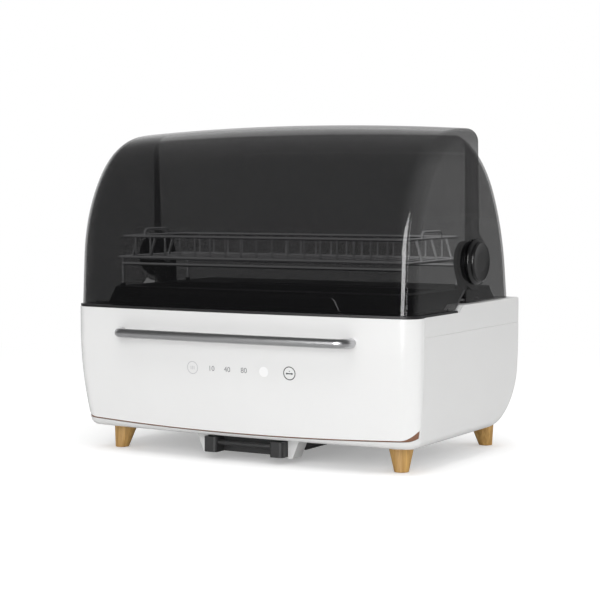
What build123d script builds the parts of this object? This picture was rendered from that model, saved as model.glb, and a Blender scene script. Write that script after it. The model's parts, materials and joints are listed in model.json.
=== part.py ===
from build123d import *
import math
import os

os.makedirs("parts", exist_ok=True)

# A countertop dish drying sterilizer: a white base on four wooden feet holds a pull-out drawer,
# a black deck with a wire dish rack, and two smoked covers, of which the front one swings open.
# X runs to the right, Y to the back and Z up. Z = 0 is the floor.

# Base housing
width = 470.0
depth = 307.0
underside_z = 30.0
collar_z = 156.5
rim_z = 179.0
rear_rim_z = 187.0
wall = 3.0
lean_start_z = 150.0
front_lean_radius = 525.0
side_lean_radius = 1000.0
bow_radius = 2890.0
heel_radius = 70.0
front_corner = 20.0
edge_round = 10.0
seam_bevel = 0.7

# Drawer front and its handle
front_swell = 34.0
handle_reach = 21.5
handle_radius = 5.5
handle_half_span = 158.0
handle_z = 150.0
handle_bend = 13.0
front_low_z = 36.0
front_smile = 6.0
front_low_half = 212.0
front_side_half = 232.0
front_shoulder_z = 72.0
front_low_corner = 22.0
seat_low_corner = 15.0
reveal = 1.6
slide_gap = 0.4
trim_gap = 0.3
trim_depth = 3.0

rear_y = (depth + handle_reach) / 2
front_y = rear_y - depth
seam_y = front_y + front_swell

# Collar, its opening and its step up to the rear
step_front = 90.0
step_back = 103.0
opening_half = 213.5
opening_front = 30.0
opening_rear = 255.5
opening_corner = 10.0
ledge = 8.0
ledge_thick = 2.5

# Deck
flange_inset = 0.5
deck_sheet = 2.5
deck_top_z = 202.0
platform_half = 213.0
platform_front = 8.0
platform_rear = 254.5
platform_taper = 6.5
platform_corner = 12.0
basin_half = 186.0
basin_front = 36.0
basin_rear = 138.0
basin_depth = 8.0
trough_half = 122.0
trough_front = 149.5
trough_rear = 169.5
trough_depth = 20.0
fit = 0.3

# Smoked covers and their hinge
pivot = seam_y + 143.0
pivot_z = 236.0
cover_wall = 2.5
hood_half = 231.0
hood_corner = 16.0
hood_low_z = 182.0
hood_top_z = 401.0
hood_rear = 149.0
hood_sag_radius = 2430.0
hood_sag_lean = 47.0
lobe_radius = 34.0
cover_half = 224.5
cover_corner = 16.0
cover_rear = 268.0
cover_front = 133.0
cover_sag_radius = 4600.0
cover_sag_lean = -45.0
pin_radius = 5.0
pin_gap = 0.05
hub_radius = 22.5
flange_radius = 24.0
hub_face_x = 240.0
post_inner_x = 214.0
post_thick = 5.5

# Dish rack
rack_half = 204.0
rack_front = 24.0
rack_rear = 168.0
rack_lean = 8.0
rack_floor_z = 238.0
rack_rim_z = 264.0
rack_rail_z = 230.0
rack_loop_z = 272.0
rack_wire = 2.0
divider_wire = 1.5
wire_sides = 8
divider_pitch = 22.0
divider_count = 17
loop_front = 72.0
loop_rear = 122.0

# Drawer box and its rails
box_half = 205.0
box_depth = 178.0
box_low_z = 46.0
box_high_z = 138.0
box_wall = 2.5
rail_length = 176.0
rail_z = 65.0
rail_height = 10.0
rail_width = 7.6
rail_sheet = 1.5
rail_gap = 0.4

# Drip tray under the base
tray_half = 55.0
tray_front = -10.0
tray_rear = 206.0
tray_low_z = 8.5
tray_pan_z = 17.0
tray_high_z = 27.0
tray_wall = 2.0
tray_grip = 18.0
tray_side_gap = 0.5
lug_front = 2.0
lug_rear = 24.0
lug_low_z = 6.5
lug_low_width = 6.0
lug_top_width = 16.0
housing_front = 25.0
housing_rear = 212.0
housing_half = 67.0
ledge_width = 7.0

# Feet
foot_x = 193.6
foot_front = 24.4
foot_rear = 248.0
foot_splay_x = 2.8
foot_splay_y = 5.2
foot_top_radius = 14.6
foot_low_radius = 8.4
foot_sides = 24
foot_top_z = 27.5
pad_radius = 17.5
pad_flare = 3.0
rear_pad_radius = 15.0
foot_clear = 0.5
sole_radius = 6.0
sole_thick = 2.0
foot_screw_radius = 2.0
foot_screw_depth = 16.0
foot_head_radius = 4.5

# Drying and sterilising parts
fan_size = 66.0
fan_thick = 20.0
fan_bore = 31.5
fan_middle = 208.5
fan_low_z = 150.0
duct_wall = 2.0
heater_thick = 12.0
lamp_radius = 7.75
lamp_half = 106.0
hose_radius = 6.0
hose_bore = 4.0
hose_x = -48.0
spout_y = 118.0
drain_y = 192.0
screw_radius = 1.5
head_radius = 3.0
head_thick = 2.0


def base_form(inset):
    # The base's outer skin moved inwards: bowed and leaning front, leaning sides, rounded heel.
    bottom = underside_z + inset
    drop = lean_start_z - bottom
    front_lean = front_lean_radius - math.sqrt(front_lean_radius**2 - drop**2)
    side_lean = side_lean_radius - math.sqrt(side_lean_radius**2 - drop**2)
    front = front_y + inset
    rear = rear_y - inset
    half = width / 2 - inset
    heel = heel_radius - inset
    beyond = rear_y + 20
    far_axis = Axis((0, front_y + bow_radius, 0), (0, 0, 1))
    turn = math.degrees(math.atan((half + 20) / (bow_radius - depth)))
    with BuildSketch(Plane.YZ) as front_section:
        with BuildLine():
            Polyline((front, lean_start_z), (front, rear_rim_z), (beyond, rear_rim_z), (beyond, bottom),
                     (front + front_lean, bottom))
            TangentArc((front, lean_start_z), (front + front_lean, bottom), tangent=(0, -1))
        make_face()
    with BuildSketch(Plane.XZ) as front_outline:
        with BuildLine():
            Polyline((half, lean_start_z), (half, rear_rim_z), (-half, rear_rim_z), (-half, lean_start_z))
            TangentArc((half, lean_start_z), (half - side_lean, bottom), tangent=(0, -1))
            TangentArc((-half, lean_start_z), (side_lean - half, bottom), tangent=(0, -1))
            Line((half - side_lean, bottom), (side_lean - half, bottom))
        make_face()
    with BuildSketch(Plane.YZ) as side_outline:
        with BuildLine():
            Polyline((rear, bottom + heel), (rear, rear_rim_z), (front - 50, rear_rim_z),
                     (front - 50, bottom), (rear - heel, bottom))
            TangentArc((rear - heel, bottom), (rear, bottom + heel), tangent=(1, 0))
        make_face()
    with BuildPart() as form:
        revolve(front_section.sketch.rotate(far_axis, -turn), axis=far_axis, revolution_arc=2 * turn)
        extrude(front_outline.sketch, amount=depth, both=True, mode=Mode.INTERSECT)
        extrude(side_outline.sketch, amount=width, both=True, mode=Mode.INTERSECT)
        edges = form.edges().filter_by(lambda e: abs(e.center().X) > half - 15)
        front_corners = edges.filter_by(lambda e: e.center().Y < seam_y and e.bounding_box().size.Z > 50)
        fillet(front_corners, radius=front_corner - inset)
        below = form.edges().filter_by(lambda e: e.bounding_box().min.Z < rear_rim_z - 1)
        round_edges = below.filter_by(lambda e: e.center().Z < bottom + 0.5 or e.center().Y > rear - heel - 1)
        rim_edges = round_edges.filter_by(lambda e: abs(e.center().X) > 100 or e.center().Y < seam_y)
        fillet(rim_edges, radius=edge_round - inset)
    return form.part


def front_zone(grow, corner, start, reach):
    # The block of space ahead of the seam that the drawer front fills, with its curved lower edge.
    low = front_low_z - grow
    side = front_side_half + grow
    clear = width / 2 + 20
    with BuildSketch(Plane.XZ.offset(-(seam_y - start))) as outline:
        with BuildLine():
            ThreePointArc((-side, low + front_smile), (0, low), (side, low + front_smile))
            Polyline((side, low + front_smile), (side, front_shoulder_z), (clear, front_shoulder_z),
                     (clear, rear_rim_z + 20), (-clear, rear_rim_z + 20), (-clear, front_shoulder_z),
                     (-side, front_shoulder_z), (-side, low + front_smile))
        make_face()
        low_corners = outline.vertices().filter_by(lambda v: v.Y < low + front_smile + 1)
        fillet(low_corners, radius=corner)
    with BuildPart() as zone:
        extrude(outline.sketch, amount=reach)
    return zone.part


def box_between(low, high):
    # A plain block between two opposite corners.
    size = [high[i] - low[i] for i in range(3)]
    middle = [(high[i] + low[i]) / 2 for i in range(3)]
    return Pos(*middle) * Box(*size, mode=Mode.PRIVATE)


def rod(start, end, radius):
    # A round bar from one point to another.
    path = Vector(*end) - Vector(*start)
    bar = Cylinder(radius, path.length, mode=Mode.PRIVATE)
    return Plane(origin=start, z_dir=path) * Pos(0, 0, path.length / 2) * bar


def prism(start, end, radius, sides):
    # A bar with flat sides from one point to another, for what repeats many times.
    path = Vector(*end) - Vector(*start)
    with BuildSketch(Plane(origin=start, z_dir=path), mode=Mode.PRIVATE) as section:
        RegularPolygon(radius, sides)
    return extrude(section.sketch, amount=path.length, mode=Mode.PRIVATE)


def screw(tip, seat, head_end, shank, head):
    # A screw from its tip through its seat to the end of its hexagonal head.
    return [prism(tip, seat, shank, 8), prism(seat, head_end, head, 6)]


def write(piece, name):
    piece.part.label = name
    export_step(piece.part, "parts/" + name + ".step")


outer_form = base_form(0)
inner_form = base_form(wall)
flange_form = base_form(flange_inset)

# Lower body: floor, sides and rear, open in front, with a lip under the drawer front
vent_low_z = 112.0
vent_high_z = 148.0
vent_pitch = 10.0
vent_width = 4.0
vent_count = 13
inlet_x = -180.0
inlet_z = 128.0
inlet_width = 30.0
inlet_height = 22.0
floor_z = underside_z + wall
front_feet = [(side * foot_x, seam_y + foot_front, side, -1) for side in (-1, 1)]
rear_feet = [(side * foot_x, seam_y + foot_rear, side, 1) for side in (-1, 1)]
foot_spots = front_feet + rear_feet
drain_spot = (hose_x, seam_y + drain_y)
nipple_radius = hose_bore - pin_gap
shank_hole = screw_radius + 0.2
post_radius = 4.5
post_x = width / 2 - wall - post_radius - 6.5
post_spots = [(side * post_x, seam_y + y, top) for side in (-1, 1)
              for y, top in ((46.0, rim_z - 1), (190.0, rear_rim_z - 1))]
rail_spots = [(side * 207.0, seam_y + y) for side in (-1, 1) for y in (48.0, 150.0)]
housing_spots = [(side * 76.0, seam_y + y) for side in (-1, 1) for y in (40.0, 185.0)]
board_y = seam_y + 258.0
board_thick = 1.6
board_spots = [(x, z) for x in (90.0, 180.0) for z in (100.0, 138.0)]


def heel_height(reach):
    # Height of the underside at a distance behind the seam, where the heel curves up.
    behind = reach + front_swell + heel_radius - depth
    return underside_z + heel_radius - math.sqrt(heel_radius**2 - behind**2)


rear_boss_z = heel_height(foot_rear + rear_pad_radius) + wall
rear_seat_z = rear_boss_z - 15.0


with BuildPart() as lower_body:
    add(outer_form)
    split(bisect_by=Plane.XY.offset(collar_z), keep=Keep.BOTTOM)
    seam_edges = lower_body.faces().sort_by(Axis.Z)[-1].edges()
    chamfer(seam_edges.filter_by(lambda e: e.center().Y > seam_y - 12), length=seam_bevel)
    add(inner_form, mode=Mode.SUBTRACT)
    add(front_zone(reveal, seat_low_corner, 0, 2 * front_swell), mode=Mode.SUBTRACT)
    with Locations(*[(x, y, (foot_top_z + underside_z + 1) / 2) for x, y, sx, sy in front_feet]):
        Cone(pad_radius, pad_radius + pad_flare, underside_z + 1 - foot_top_z)
    with Locations(*[(x, y, foot_top_z) for x, y, sx, sy in rear_feet]):
        Cylinder(rear_pad_radius, rear_boss_z - foot_top_z, align=(Align.CENTER, Align.CENTER, Align.MIN))
    for x, y, sx, sy in foot_spots:
        add(rod((x, y, foot_top_z - 1), (x, y, rear_boss_z + 1), foot_screw_radius + 0.2), mode=Mode.SUBTRACT)
    for x, y, sx, sy in rear_feet:
        add(rod((x, y, rear_seat_z), (x, y, rear_boss_z + 1), foot_head_radius + 0.5), mode=Mode.SUBTRACT)
    with Locations(*[(x, y, (floor_z - 1 + collar_z) / 2) for x, y, top in post_spots]):
        Cylinder(post_radius, collar_z - floor_z + 1)
        Cylinder(shank_hole, 400, mode=Mode.SUBTRACT)
    with Locations(*[(x, y, collar_z - 10) for x, y, top in post_spots]):
        Cylinder(head_radius + 0.3, 300, align=(Align.CENTER, Align.CENTER, Align.MAX), mode=Mode.SUBTRACT)
    for side in (-1, 1):
        lug_x = side * (tray_half + 2 * tray_side_gap)
        with BuildSketch(Plane.XZ.offset(-(seam_y + lug_rear))):
            with BuildLine():
                Polyline((lug_x, underside_z + 1), (lug_x, lug_low_z), (lug_x + side * lug_low_width, lug_low_z),
                         (lug_x + side * lug_top_width, underside_z + 1), (lug_x, underside_z + 1))
            make_face()
        extrude(amount=lug_rear - lug_front)
    with BuildSketch(Plane.XZ.offset(-rear_y)):
        with Locations((0, (vent_low_z + vent_high_z) / 2)):
            with GridLocations(vent_pitch, 1, vent_count, 1):
                SlotOverall(vent_high_z - vent_low_z, vent_width, rotation=90)
        with Locations((inlet_x, inlet_z)):
            Rectangle(inlet_width, inlet_height)
    extrude(amount=2 * wall, both=True, mode=Mode.SUBTRACT)
    with Locations((*drain_spot, floor_z - 1)):
        Cylinder(nipple_radius, 13, align=(Align.CENTER, Align.CENTER, Align.MIN))
    with Locations((*drain_spot, floor_z)):
        Cylinder(nipple_radius - 1.2, 40, mode=Mode.SUBTRACT)
    for x, y in rail_spots:
        add(rod((x, y, floor_z - 2.5), (x, y, floor_z + 1), screw_radius + pin_gap), mode=Mode.SUBTRACT)
    for x, y in housing_spots:
        add(rod((x, y, underside_z - 1), (x, y, underside_z + 2.2), screw_radius + pin_gap), mode=Mode.SUBTRACT)
    for x, z in board_spots:
        add(rod((x, board_y + board_thick, z), (x, seam_y + 270, z), 3.2))
        add(rod((x, board_y, z), (x, board_y + 8, z), screw_radius + pin_gap), mode=Mode.SUBTRACT)
write(lower_body, "lower_body")

# Feet: tapered wood, splayed outwards, each with a sole and a screw from inside
with BuildPart() as foot_pads:
    for x, y, sx, sy in foot_spots:
        with Locations((x + sx * foot_splay_x, y + sy * foot_splay_y, sole_thick / 2)):
            Cylinder(sole_radius, sole_thick)
write(foot_pads, "foot_pads")

foot_names = ("foot_front_left", "foot_front_right", "foot_rear_left", "foot_rear_right")
for name, (x, y, sx, sy) in zip(foot_names, foot_spots):
    sole = (x + sx * foot_splay_x, y + sy * foot_splay_y)
    with BuildPart() as foot:
        with BuildSketch(Plane((*sole, foot_clear))):
            RegularPolygon(foot_low_radius, foot_sides)
        with BuildSketch(Plane((x, y, foot_top_z))):
            RegularPolygon(foot_top_radius, foot_sides)
        loft(ruled=True)
        add(rod((*sole, 0), (*sole, sole_thick), sole_radius + 0.1), mode=Mode.SUBTRACT)
        with Locations((x, y, foot_top_z)):
            Hole(foot_screw_radius + pin_gap, depth=foot_screw_depth + 0.5)
    write(foot, name)

with BuildPart() as foot_screws:
    for x, y, sx, sy in foot_spots:
        seat = floor_z if sy < 0 else rear_seat_z
        add(screw((x, y, foot_top_z - foot_screw_depth), (x, y, seat), (x, y, seat + 2.5), foot_screw_radius,
                  foot_head_radius))
write(foot_screws, "foot_screws")

# Collar: the white ring round the deck, low in front and one step higher at the back
step_line = [(step_front, rim_z), (step_back, rear_rim_z)]


def collar_profile(inset):
    # Side view of the collar, with its top and front moved in by the sheet thickness.
    with BuildSketch(Plane.YZ) as profile:
        with BuildLine():
            Polyline((seam_y + inset, collar_z), (seam_y + inset, rim_z - inset),
                     (seam_y + step_front + inset / 2, rim_z - inset),
                     (seam_y + step_back + inset / 2, rear_rim_z - inset),
                     (rear_y + 5, rear_rim_z - inset), (rear_y + 5, collar_z), (seam_y + inset, collar_z))
        make_face()
    return profile.sketch


with BuildPart() as collar_cavity:
    add(inner_form)
    extrude(collar_profile(wall), amount=width, both=True, mode=Mode.INTERSECT)


def opening_block(half, front, rear, corner, low_z, high_z):
    # An upright block with rounded corners over the deck's opening.
    with BuildSketch(Plane.XY.offset(low_z)) as outline:
        with Locations((0, seam_y + (front + rear) / 2)):
            RectangleRounded(2 * half, rear - front, corner)
    with BuildPart() as block:
        extrude(outline.sketch, amount=high_z - low_z)
    return block.part


skirt = 2.5
skirt_front = step_back + 2.0
hinge_screw_spots = [(side * 218.3, pivot + y) for side in (-1, 1) for y in (-8.5, 32.0)]
cover_tab_x = 120.0
cover_tab_y = seam_y + opening_rear + skirt + head_radius + 0.8
cover_screw_spots = [(side * cover_tab_x, cover_tab_y) for side in (-1, 1)]
with BuildPart() as collar:
    add(outer_form)
    extrude(collar_profile(0), amount=width, both=True, mode=Mode.INTERSECT)
    rear_edge = collar.edges().filter_by(lambda e: e.center().Z > rear_rim_z - 0.1 and e.center().Y > rear_y - 20)
    fillet(rear_edge.filter_by(lambda e: e.center().Y > rear_y - 9), radius=1.5)
    add(collar_cavity.part, mode=Mode.SUBTRACT)
    add(opening_block(opening_half + skirt, skirt_front, opening_rear + skirt, opening_corner + skirt,
                      rim_z - ledge_thick, rear_rim_z - 1))
    add(opening_block(opening_half - ledge, skirt_front - 10, opening_rear - ledge, opening_corner - ledge / 2,
                      rim_z - ledge_thick - 1, rim_z + 1), mode=Mode.SUBTRACT)
    add(opening_block(opening_half, opening_front, opening_rear, opening_corner, rim_z, rear_rim_z + 1),
        mode=Mode.SUBTRACT)
    add(opening_block(opening_half, opening_front, skirt_front, 1, collar_z - 1, rim_z + 1), mode=Mode.SUBTRACT)
    for x, y, top in post_spots:
        add(rod((x, y, collar_z), (x, y, top), post_radius))
    with Locations(*[(x, y, collar_z) for x, y, top in post_spots]):
        Cylinder(screw_radius + pin_gap, 26, mode=Mode.SUBTRACT)
    for x, y in hinge_screw_spots + cover_screw_spots:
        add(rod((x, y, rear_rim_z - wall - 1), (x, y, rear_rim_z + 1), screw_radius + pin_gap), mode=Mode.SUBTRACT)
write(collar, "collar")

with BuildPart() as body_screws:
    for x, y, top in post_spots:
        add(screw((x, y, collar_z + 12), (x, y, collar_z - 10), (x, y, collar_z - 10 - head_thick), screw_radius,
                  head_radius))
write(body_screws, "body_screws")

# Deck: a black apron that also covers the drawer front, and a raised platform with its hollows
grille_middle = (0, seam_y + fan_middle)
grille_pitch = 7.0
grille_slot = 3.0
grille_length = 50.0
grille_count = 9
pocket_shell = 2.5
spout_radius = hose_bore - pin_gap
deck_front = seam_y + platform_front
deck_rear = seam_y + platform_rear
flange_top_z = rim_z + deck_sheet
spout = (hose_x, seam_y + spout_y)
duct_ear_z = 190.0
duct_spots = [(side * 42.5, seam_y + fan_middle + y) for side in (-1, 1) for y in (-24.0, 24.0)]


def platform_plane(z, shrink):
    # The platform's outline at a height, drawn in by the shrink all round.
    with BuildSketch(Plane.XY.offset(z)) as outline:
        with Locations((0, (deck_front + deck_rear) / 2)):
            RectangleRounded(2 * (platform_half - shrink), deck_rear - deck_front - 2 * shrink, platform_corner)
    return outline.sketch


def platform_block(shrink, low_z, top_z):
    # The platform as a solid that tapers upwards.
    with BuildPart() as block:
        add(platform_plane(low_z, shrink))
        add(platform_plane(top_z, shrink + platform_taper))
        loft()
    return block.part


def pocket(half, front, rear, corner, taper, low_z, top_z):
    # A hollow or its wall in the platform top, wider at the top than at the bottom.
    with BuildPart() as block:
        for z, grow in ((low_z, -taper), (top_z, 0)):
            with BuildSketch(Plane.XY.offset(z)):
                with Locations((0, seam_y + (front + rear) / 2)):
                    RectangleRounded(2 * (half + grow), rear - front + 2 * grow, corner)
        loft()
    return block.part


basin = (basin_half, basin_front, basin_rear, 10.0, 3.0)
basin_outer = (basin_half + pocket_shell, basin_front - pocket_shell, basin_rear + pocket_shell, 12.0, 3.0)
trough = (trough_half, trough_front, trough_rear, 3.0, 1.0)
trough_outer = (trough_half + pocket_shell, trough_front - pocket_shell, trough_rear + pocket_shell, 4.0, 1.0)
basin_floor_z = deck_top_z - basin_depth
pan_gap = 0.05

with BuildPart() as deck_apron:
    add(flange_form)
    add(box_between((-width, front_y - 20, rim_z), (width, seam_y + step_front - 2, flange_top_z)),
        mode=Mode.INTERSECT)
    with BuildSketch(Plane.XY.offset(rim_z)):
        with Locations((0, (seam_y + 40 + seam_y + opening_rear - fit) / 2)):
            RectangleRounded(2 * (opening_half - 2 * fit), opening_rear - fit - 40, opening_corner - fit)
    extrude(amount=deck_sheet)
    add(platform_block(pocket_shell, rim_z - 1, deck_top_z - pocket_shell), mode=Mode.SUBTRACT)
write(deck_apron, "deck_apron")

with BuildPart() as deck:
    add(platform_block(0, flange_top_z, deck_top_z))
    add(platform_block(pocket_shell, rim_z - 1, deck_top_z - pocket_shell), mode=Mode.SUBTRACT)
    add(pocket(*basin_outer, basin_floor_z - pocket_shell, deck_top_z - 1))
    add(pocket(*trough_outer, deck_top_z - trough_depth - pocket_shell, deck_top_z - 1))
    add(pocket(*basin, basin_floor_z, deck_top_z + 0.01), mode=Mode.SUBTRACT)
    add(pocket(*trough, deck_top_z - trough_depth, deck_top_z + 0.01), mode=Mode.SUBTRACT)
    with BuildSketch(Plane.XY.offset(deck_top_z + 1)):
        with Locations(grille_middle):
            with GridLocations(grille_pitch, 1, grille_count, 1):
                SlotOverall(grille_length, grille_slot, rotation=90)
    extrude(amount=-pocket_shell - 2, mode=Mode.SUBTRACT)
    add(box_between((-basin_half - pocket_shell, seam_y + basin_front - pocket_shell, rim_z),
                    (basin_half + pocket_shell, seam_y + basin_rear + pocket_shell, basin_floor_z + pan_gap)),
        mode=Mode.SUBTRACT)
    for x, y in duct_spots:
        add(rod((x, y, duct_ear_z), (x, y, deck_top_z - 1), 3.5))
        add(rod((x, y, duct_ear_z - 1), (x, y, duct_ear_z + 7), screw_radius + pin_gap), mode=Mode.SUBTRACT)
write(deck, "deck")

# Basin pan: the flat floor under the walls of the large hollow, with the spout for the drain hose
spout_low_z = 178.0
with BuildPart() as basin_pan:
    with BuildSketch(Plane.XY.offset(basin_floor_z - pocket_shell)):
        with Locations((0, seam_y + (basin_front + basin_rear) / 2)):
            RectangleRounded(2 * (basin_half - 0.5), basin_rear - basin_front - 1, 12)
    extrude(amount=pocket_shell)
    add(rod((*spout, spout_low_z), (*spout, basin_floor_z - 1), spout_radius))
    add(rod((*spout, spout_low_z - 1), (*spout, deck_top_z), spout_radius - 1.2), mode=Mode.SUBTRACT)
write(basin_pan, "basin_pan")

# Smoked covers: shells whose side view is swept round a far axis, so that they bow both ways
below_z = 120.0
hinge = (pivot, pivot_z)


def crowned(profile, near, lean, radius, half, corner):
    # A cover's solid from its side view, swept, cut to its width and rounded along its side edges.
    away = Vector(0, -math.sin(math.radians(lean)), math.cos(math.radians(lean)))
    far_axis = Axis(Vector(0, *near) - away * radius, away.cross(Vector(1, 0, 0)))
    turn = math.degrees(math.asin((half + 20) / (radius - 350)))
    with BuildPart() as form:
        revolve(profile.rotate(far_axis, -turn), axis=far_axis, revolution_arc=2 * turn)
        add(box_between((-half, -width, 0), (half, width, 2 * width)), mode=Mode.INTERSECT)
        side_edges = form.edges().filter_by(lambda e: abs(e.bounding_box().size.X) < 0.1)
        arch = side_edges.filter_by(lambda e: e.center().Z > below_z + 20)
        if corner:
            fillet(arch, radius=corner)
    return form.part


def hood_profile(inset):
    # Side view of the front hood: a steep front that rolls over into a nearly level top.
    low = (seam_y - 31.0, hood_low_z)
    knee = (seam_y - 26.5, 250.0)
    rise = (knee[0] - low[0], knee[1] - low[1])
    foot = (low[0] - rise[0] * (hood_low_z - below_z) / rise[1], below_z)
    with BuildSketch(Plane.YZ) as profile:
        with BuildLine():
            Line(foot, knee)
            shoulder = TangentArc(knee, (seam_y + 14, 355.0), tangent=rise)
            brow = TangentArc(shoulder @ 1, (seam_y + 85, 396.5), tangent=shoulder % 1)
            crown = TangentArc(brow @ 1, (seam_y + 150, 400.5), tangent=brow % 1)
            run = Line(crown @ 1, crown @ 1 + (crown % 1) * 200)
            Polyline(run @ 1, ((run @ 1).X, below_z), foot)
        make_face()
        if inset:
            offset(amount=-inset, mode=Mode.REPLACE)
    return profile.sketch


def cover_profile(inset):
    # Side view of the fixed rear cover, continued forwards under the hood.
    low = (seam_y + 268.5, rear_rim_z)
    knee = (seam_y + 262.0, 228.0)
    rise = (knee[0] - low[0], knee[1] - low[1])
    foot = (low[0] - rise[0] * (rear_rim_z - below_z) / rise[1], below_z)
    with BuildSketch(Plane.YZ) as profile:
        with BuildLine():
            Line(foot, knee)
            shoulder = TangentArc(knee, (seam_y + 225, 325.0), tangent=rise)
            brow = TangentArc(shoulder @ 1, (seam_y + cover_front - 5, 390.3), tangent=shoulder % 1)
            run = Line(brow @ 1, brow @ 1 + (brow % 1) * 60)
            Polyline(run @ 1, ((run @ 1).X, below_z), foot)
        make_face()
        if inset:
            offset(amount=-inset, mode=Mode.REPLACE)
    return profile.sketch


def hood_form(inset):
    near = (seam_y + 14, 355.0)
    return crowned(hood_profile(inset), near, hood_sag_lean, hood_sag_radius, hood_half - inset, hood_corner - inset)


def cover_form(inset):
    near = (seam_y + 225, 325.0)
    return crowned(cover_profile(inset), near, cover_sag_lean, cover_sag_radius, cover_half - inset,
                   cover_corner - inset)


with BuildSketch(Plane.YZ) as hood_cut:
    with BuildLine():
        Polyline((seam_y + hood_rear, 420), (seam_y + 154.5, 255), hinge, (seam_y + 121, 207),
                 (seam_y + 88, hood_low_z), (seam_y - 80, hood_low_z), (seam_y - 80, 100),
                 (seam_y + 400, 100), (seam_y + 400, 420), (seam_y + hood_rear, 420))
    make_face()
    with Locations(hinge):
        Circle(lobe_radius, mode=Mode.SUBTRACT)

pad_spots = [(side * (hood_half - cover_wall / 2), seam_y + y) for side in (-1, 1) for y in (15.0, 70.0)]
bush_radius = 8.0
grip_proud = 1.6
with BuildSketch(Plane.XZ.offset(-(seam_y - 10))) as grip_outline:
    with BuildLine():
        Polyline((-143, hood_low_z), (-133, 200), (133, 200), (143, hood_low_z), (-143, hood_low_z))
    make_face()
    fillet(grip_outline.vertices().sort_by(Axis.Y)[-2:], radius=8)
hood_outer = hood_form(0)
hood_inner = hood_form(cover_wall)
hood_proud = crowned(hood_profile(-grip_proud), (seam_y + 14, 355.0), hood_sag_lean, hood_sag_radius, hood_half, 0)

with BuildPart() as grip_block:
    add(hood_proud)
    extrude(grip_outline.sketch, amount=60, mode=Mode.INTERSECT)

with BuildPart() as hood_shell:
    add(hood_outer)
    add(grip_block.part)
    add(hood_inner, mode=Mode.SUBTRACT)
    extrude(hood_cut.sketch, amount=width, both=True, mode=Mode.SUBTRACT)
    add(rod((-width, *hinge), (width, *hinge), bush_radius), mode=Mode.SUBTRACT)
    for x, y in pad_spots:
        add(rod((x, y, hood_low_z - 1), (x, y, hood_low_z + 2.5), 0.9), mode=Mode.SUBTRACT)
write(hood_shell, "hood_shell")

with BuildSketch(Plane.YZ) as cover_cut:
    with BuildLine():
        Polyline((seam_y + cover_front, 100), (seam_y + cover_front, 420), (seam_y - 80, 420),
                 (seam_y - 80, 100), (seam_y + cover_front, 100))
    make_face()
    with Locations(hinge):
        Circle(flange_radius, mode=Mode.SUBTRACT)
with BuildPart() as cover_shell:
    add(cover_form(0))
    add(cover_form(cover_wall), mode=Mode.SUBTRACT)
    extrude(cover_cut.sketch, amount=width, both=True, mode=Mode.SUBTRACT)
    add(box_between((-width, -width, 0), (width, width, rear_rim_z)), mode=Mode.SUBTRACT)
    for x, y in cover_screw_spots:
        add(box_between((x - 9, y - 3.5, rear_rim_z), (x + 9, seam_y + 265.2, rear_rim_z + 9)))
        add(rod((x, y, rear_rim_z - 1), (x, y, rear_rim_z + 8), screw_radius + pin_gap), mode=Mode.SUBTRACT)
    add(rod((-width, *hinge), (width, *hinge), pin_radius + pin_gap), mode=Mode.SUBTRACT)
write(cover_shell, "cover_shell")

# Hinge: on each side a post, pin, spacer and washer stay put; a bush and a cap turn with the hood
spacer_x = cover_half
washer_x = 227.7
hood_side_x = hood_half - cover_wall
hub_bore = pin_radius + pin_gap
cap_flange = 10.0


def across(side, start_x, end_x, radius):
    # A disc about the hinge line between two distances from the middle plane.
    return rod((side * start_x, *hinge), (side * end_x, *hinge), radius)


side_names = ((-1, "left"), (1, "right"))
for side, side_name in side_names:
    with BuildPart() as hinge_post:
        add(across(side, post_inner_x, post_inner_x + post_thick, flange_radius))
        add(across(side, post_inner_x, cover_half - cover_wall, 12.0))
        with BuildSketch(Plane.YZ.offset(side * (post_inner_x + (0 if side > 0 else post_thick)))):
            with BuildLine():
                Polyline((pivot - 2, rear_rim_z), (pivot + 26, rear_rim_z), (pivot + 23.9, pivot_z + 2),
                         (pivot - 20, pivot_z - 12), (pivot - 2, rear_rim_z))
            make_face()
        extrude(amount=post_thick)
        x = side * (post_inner_x + 3.8)
        add(box_between((x - 3.8, pivot - 13, rear_rim_z), (x + 3.8, pivot + 37, rear_rim_z + 3)))
        for rib_y in (pivot + 3, pivot + 17):
            x = side * (post_inner_x - 2.4)
            add(box_between((x - 2.5, rib_y - 1, deck_top_z + 3), (x + 2.5, rib_y + 1, pivot_z - 12)))
        add(across(side, post_inner_x - 20, post_inner_x + 40, hub_bore), mode=Mode.SUBTRACT)
        for screw_x, y in hinge_screw_spots:
            add(rod((screw_x, y, rear_rim_z - 1), (screw_x, y, rear_rim_z + 4), shank_hole), mode=Mode.SUBTRACT)
    write(hinge_post, "hinge_post_" + side_name)

    with BuildPart() as hinge_pin:
        add(across(side, post_inner_x - 4, post_inner_x, 9.0))
        add(across(side, post_inner_x - 1, hub_face_x - 3, pin_radius))
    write(hinge_pin, "hinge_pin_" + side_name)

    with BuildPart() as hub_cap:
        add(across(side, hood_half, hub_face_x, hub_radius))
        rim = hub_cap.faces().sort_by(Axis.X)[-1 if side > 0 else 0].edges()
        chamfer(rim, length=1.8)
        add(across(side, hub_face_x - 1.2, hub_face_x + 1, hub_radius - 5), mode=Mode.SUBTRACT)
        add(across(side, hood_half - 1, hub_face_x - 2.7, hub_bore), mode=Mode.SUBTRACT)
        add(across(side, hood_half - 1, hood_half + 1.1, cap_flange + 0.2), mode=Mode.SUBTRACT)
    write(hub_cap, "hub_cap_" + side_name)

with BuildPart() as hub_spacers:
    for side in (-1, 1):
        add(across(side, spacer_x, washer_x, flange_radius))
    add(across(1, -width, width, hub_bore), mode=Mode.SUBTRACT)
write(hub_spacers, "hub_spacers")

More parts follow.
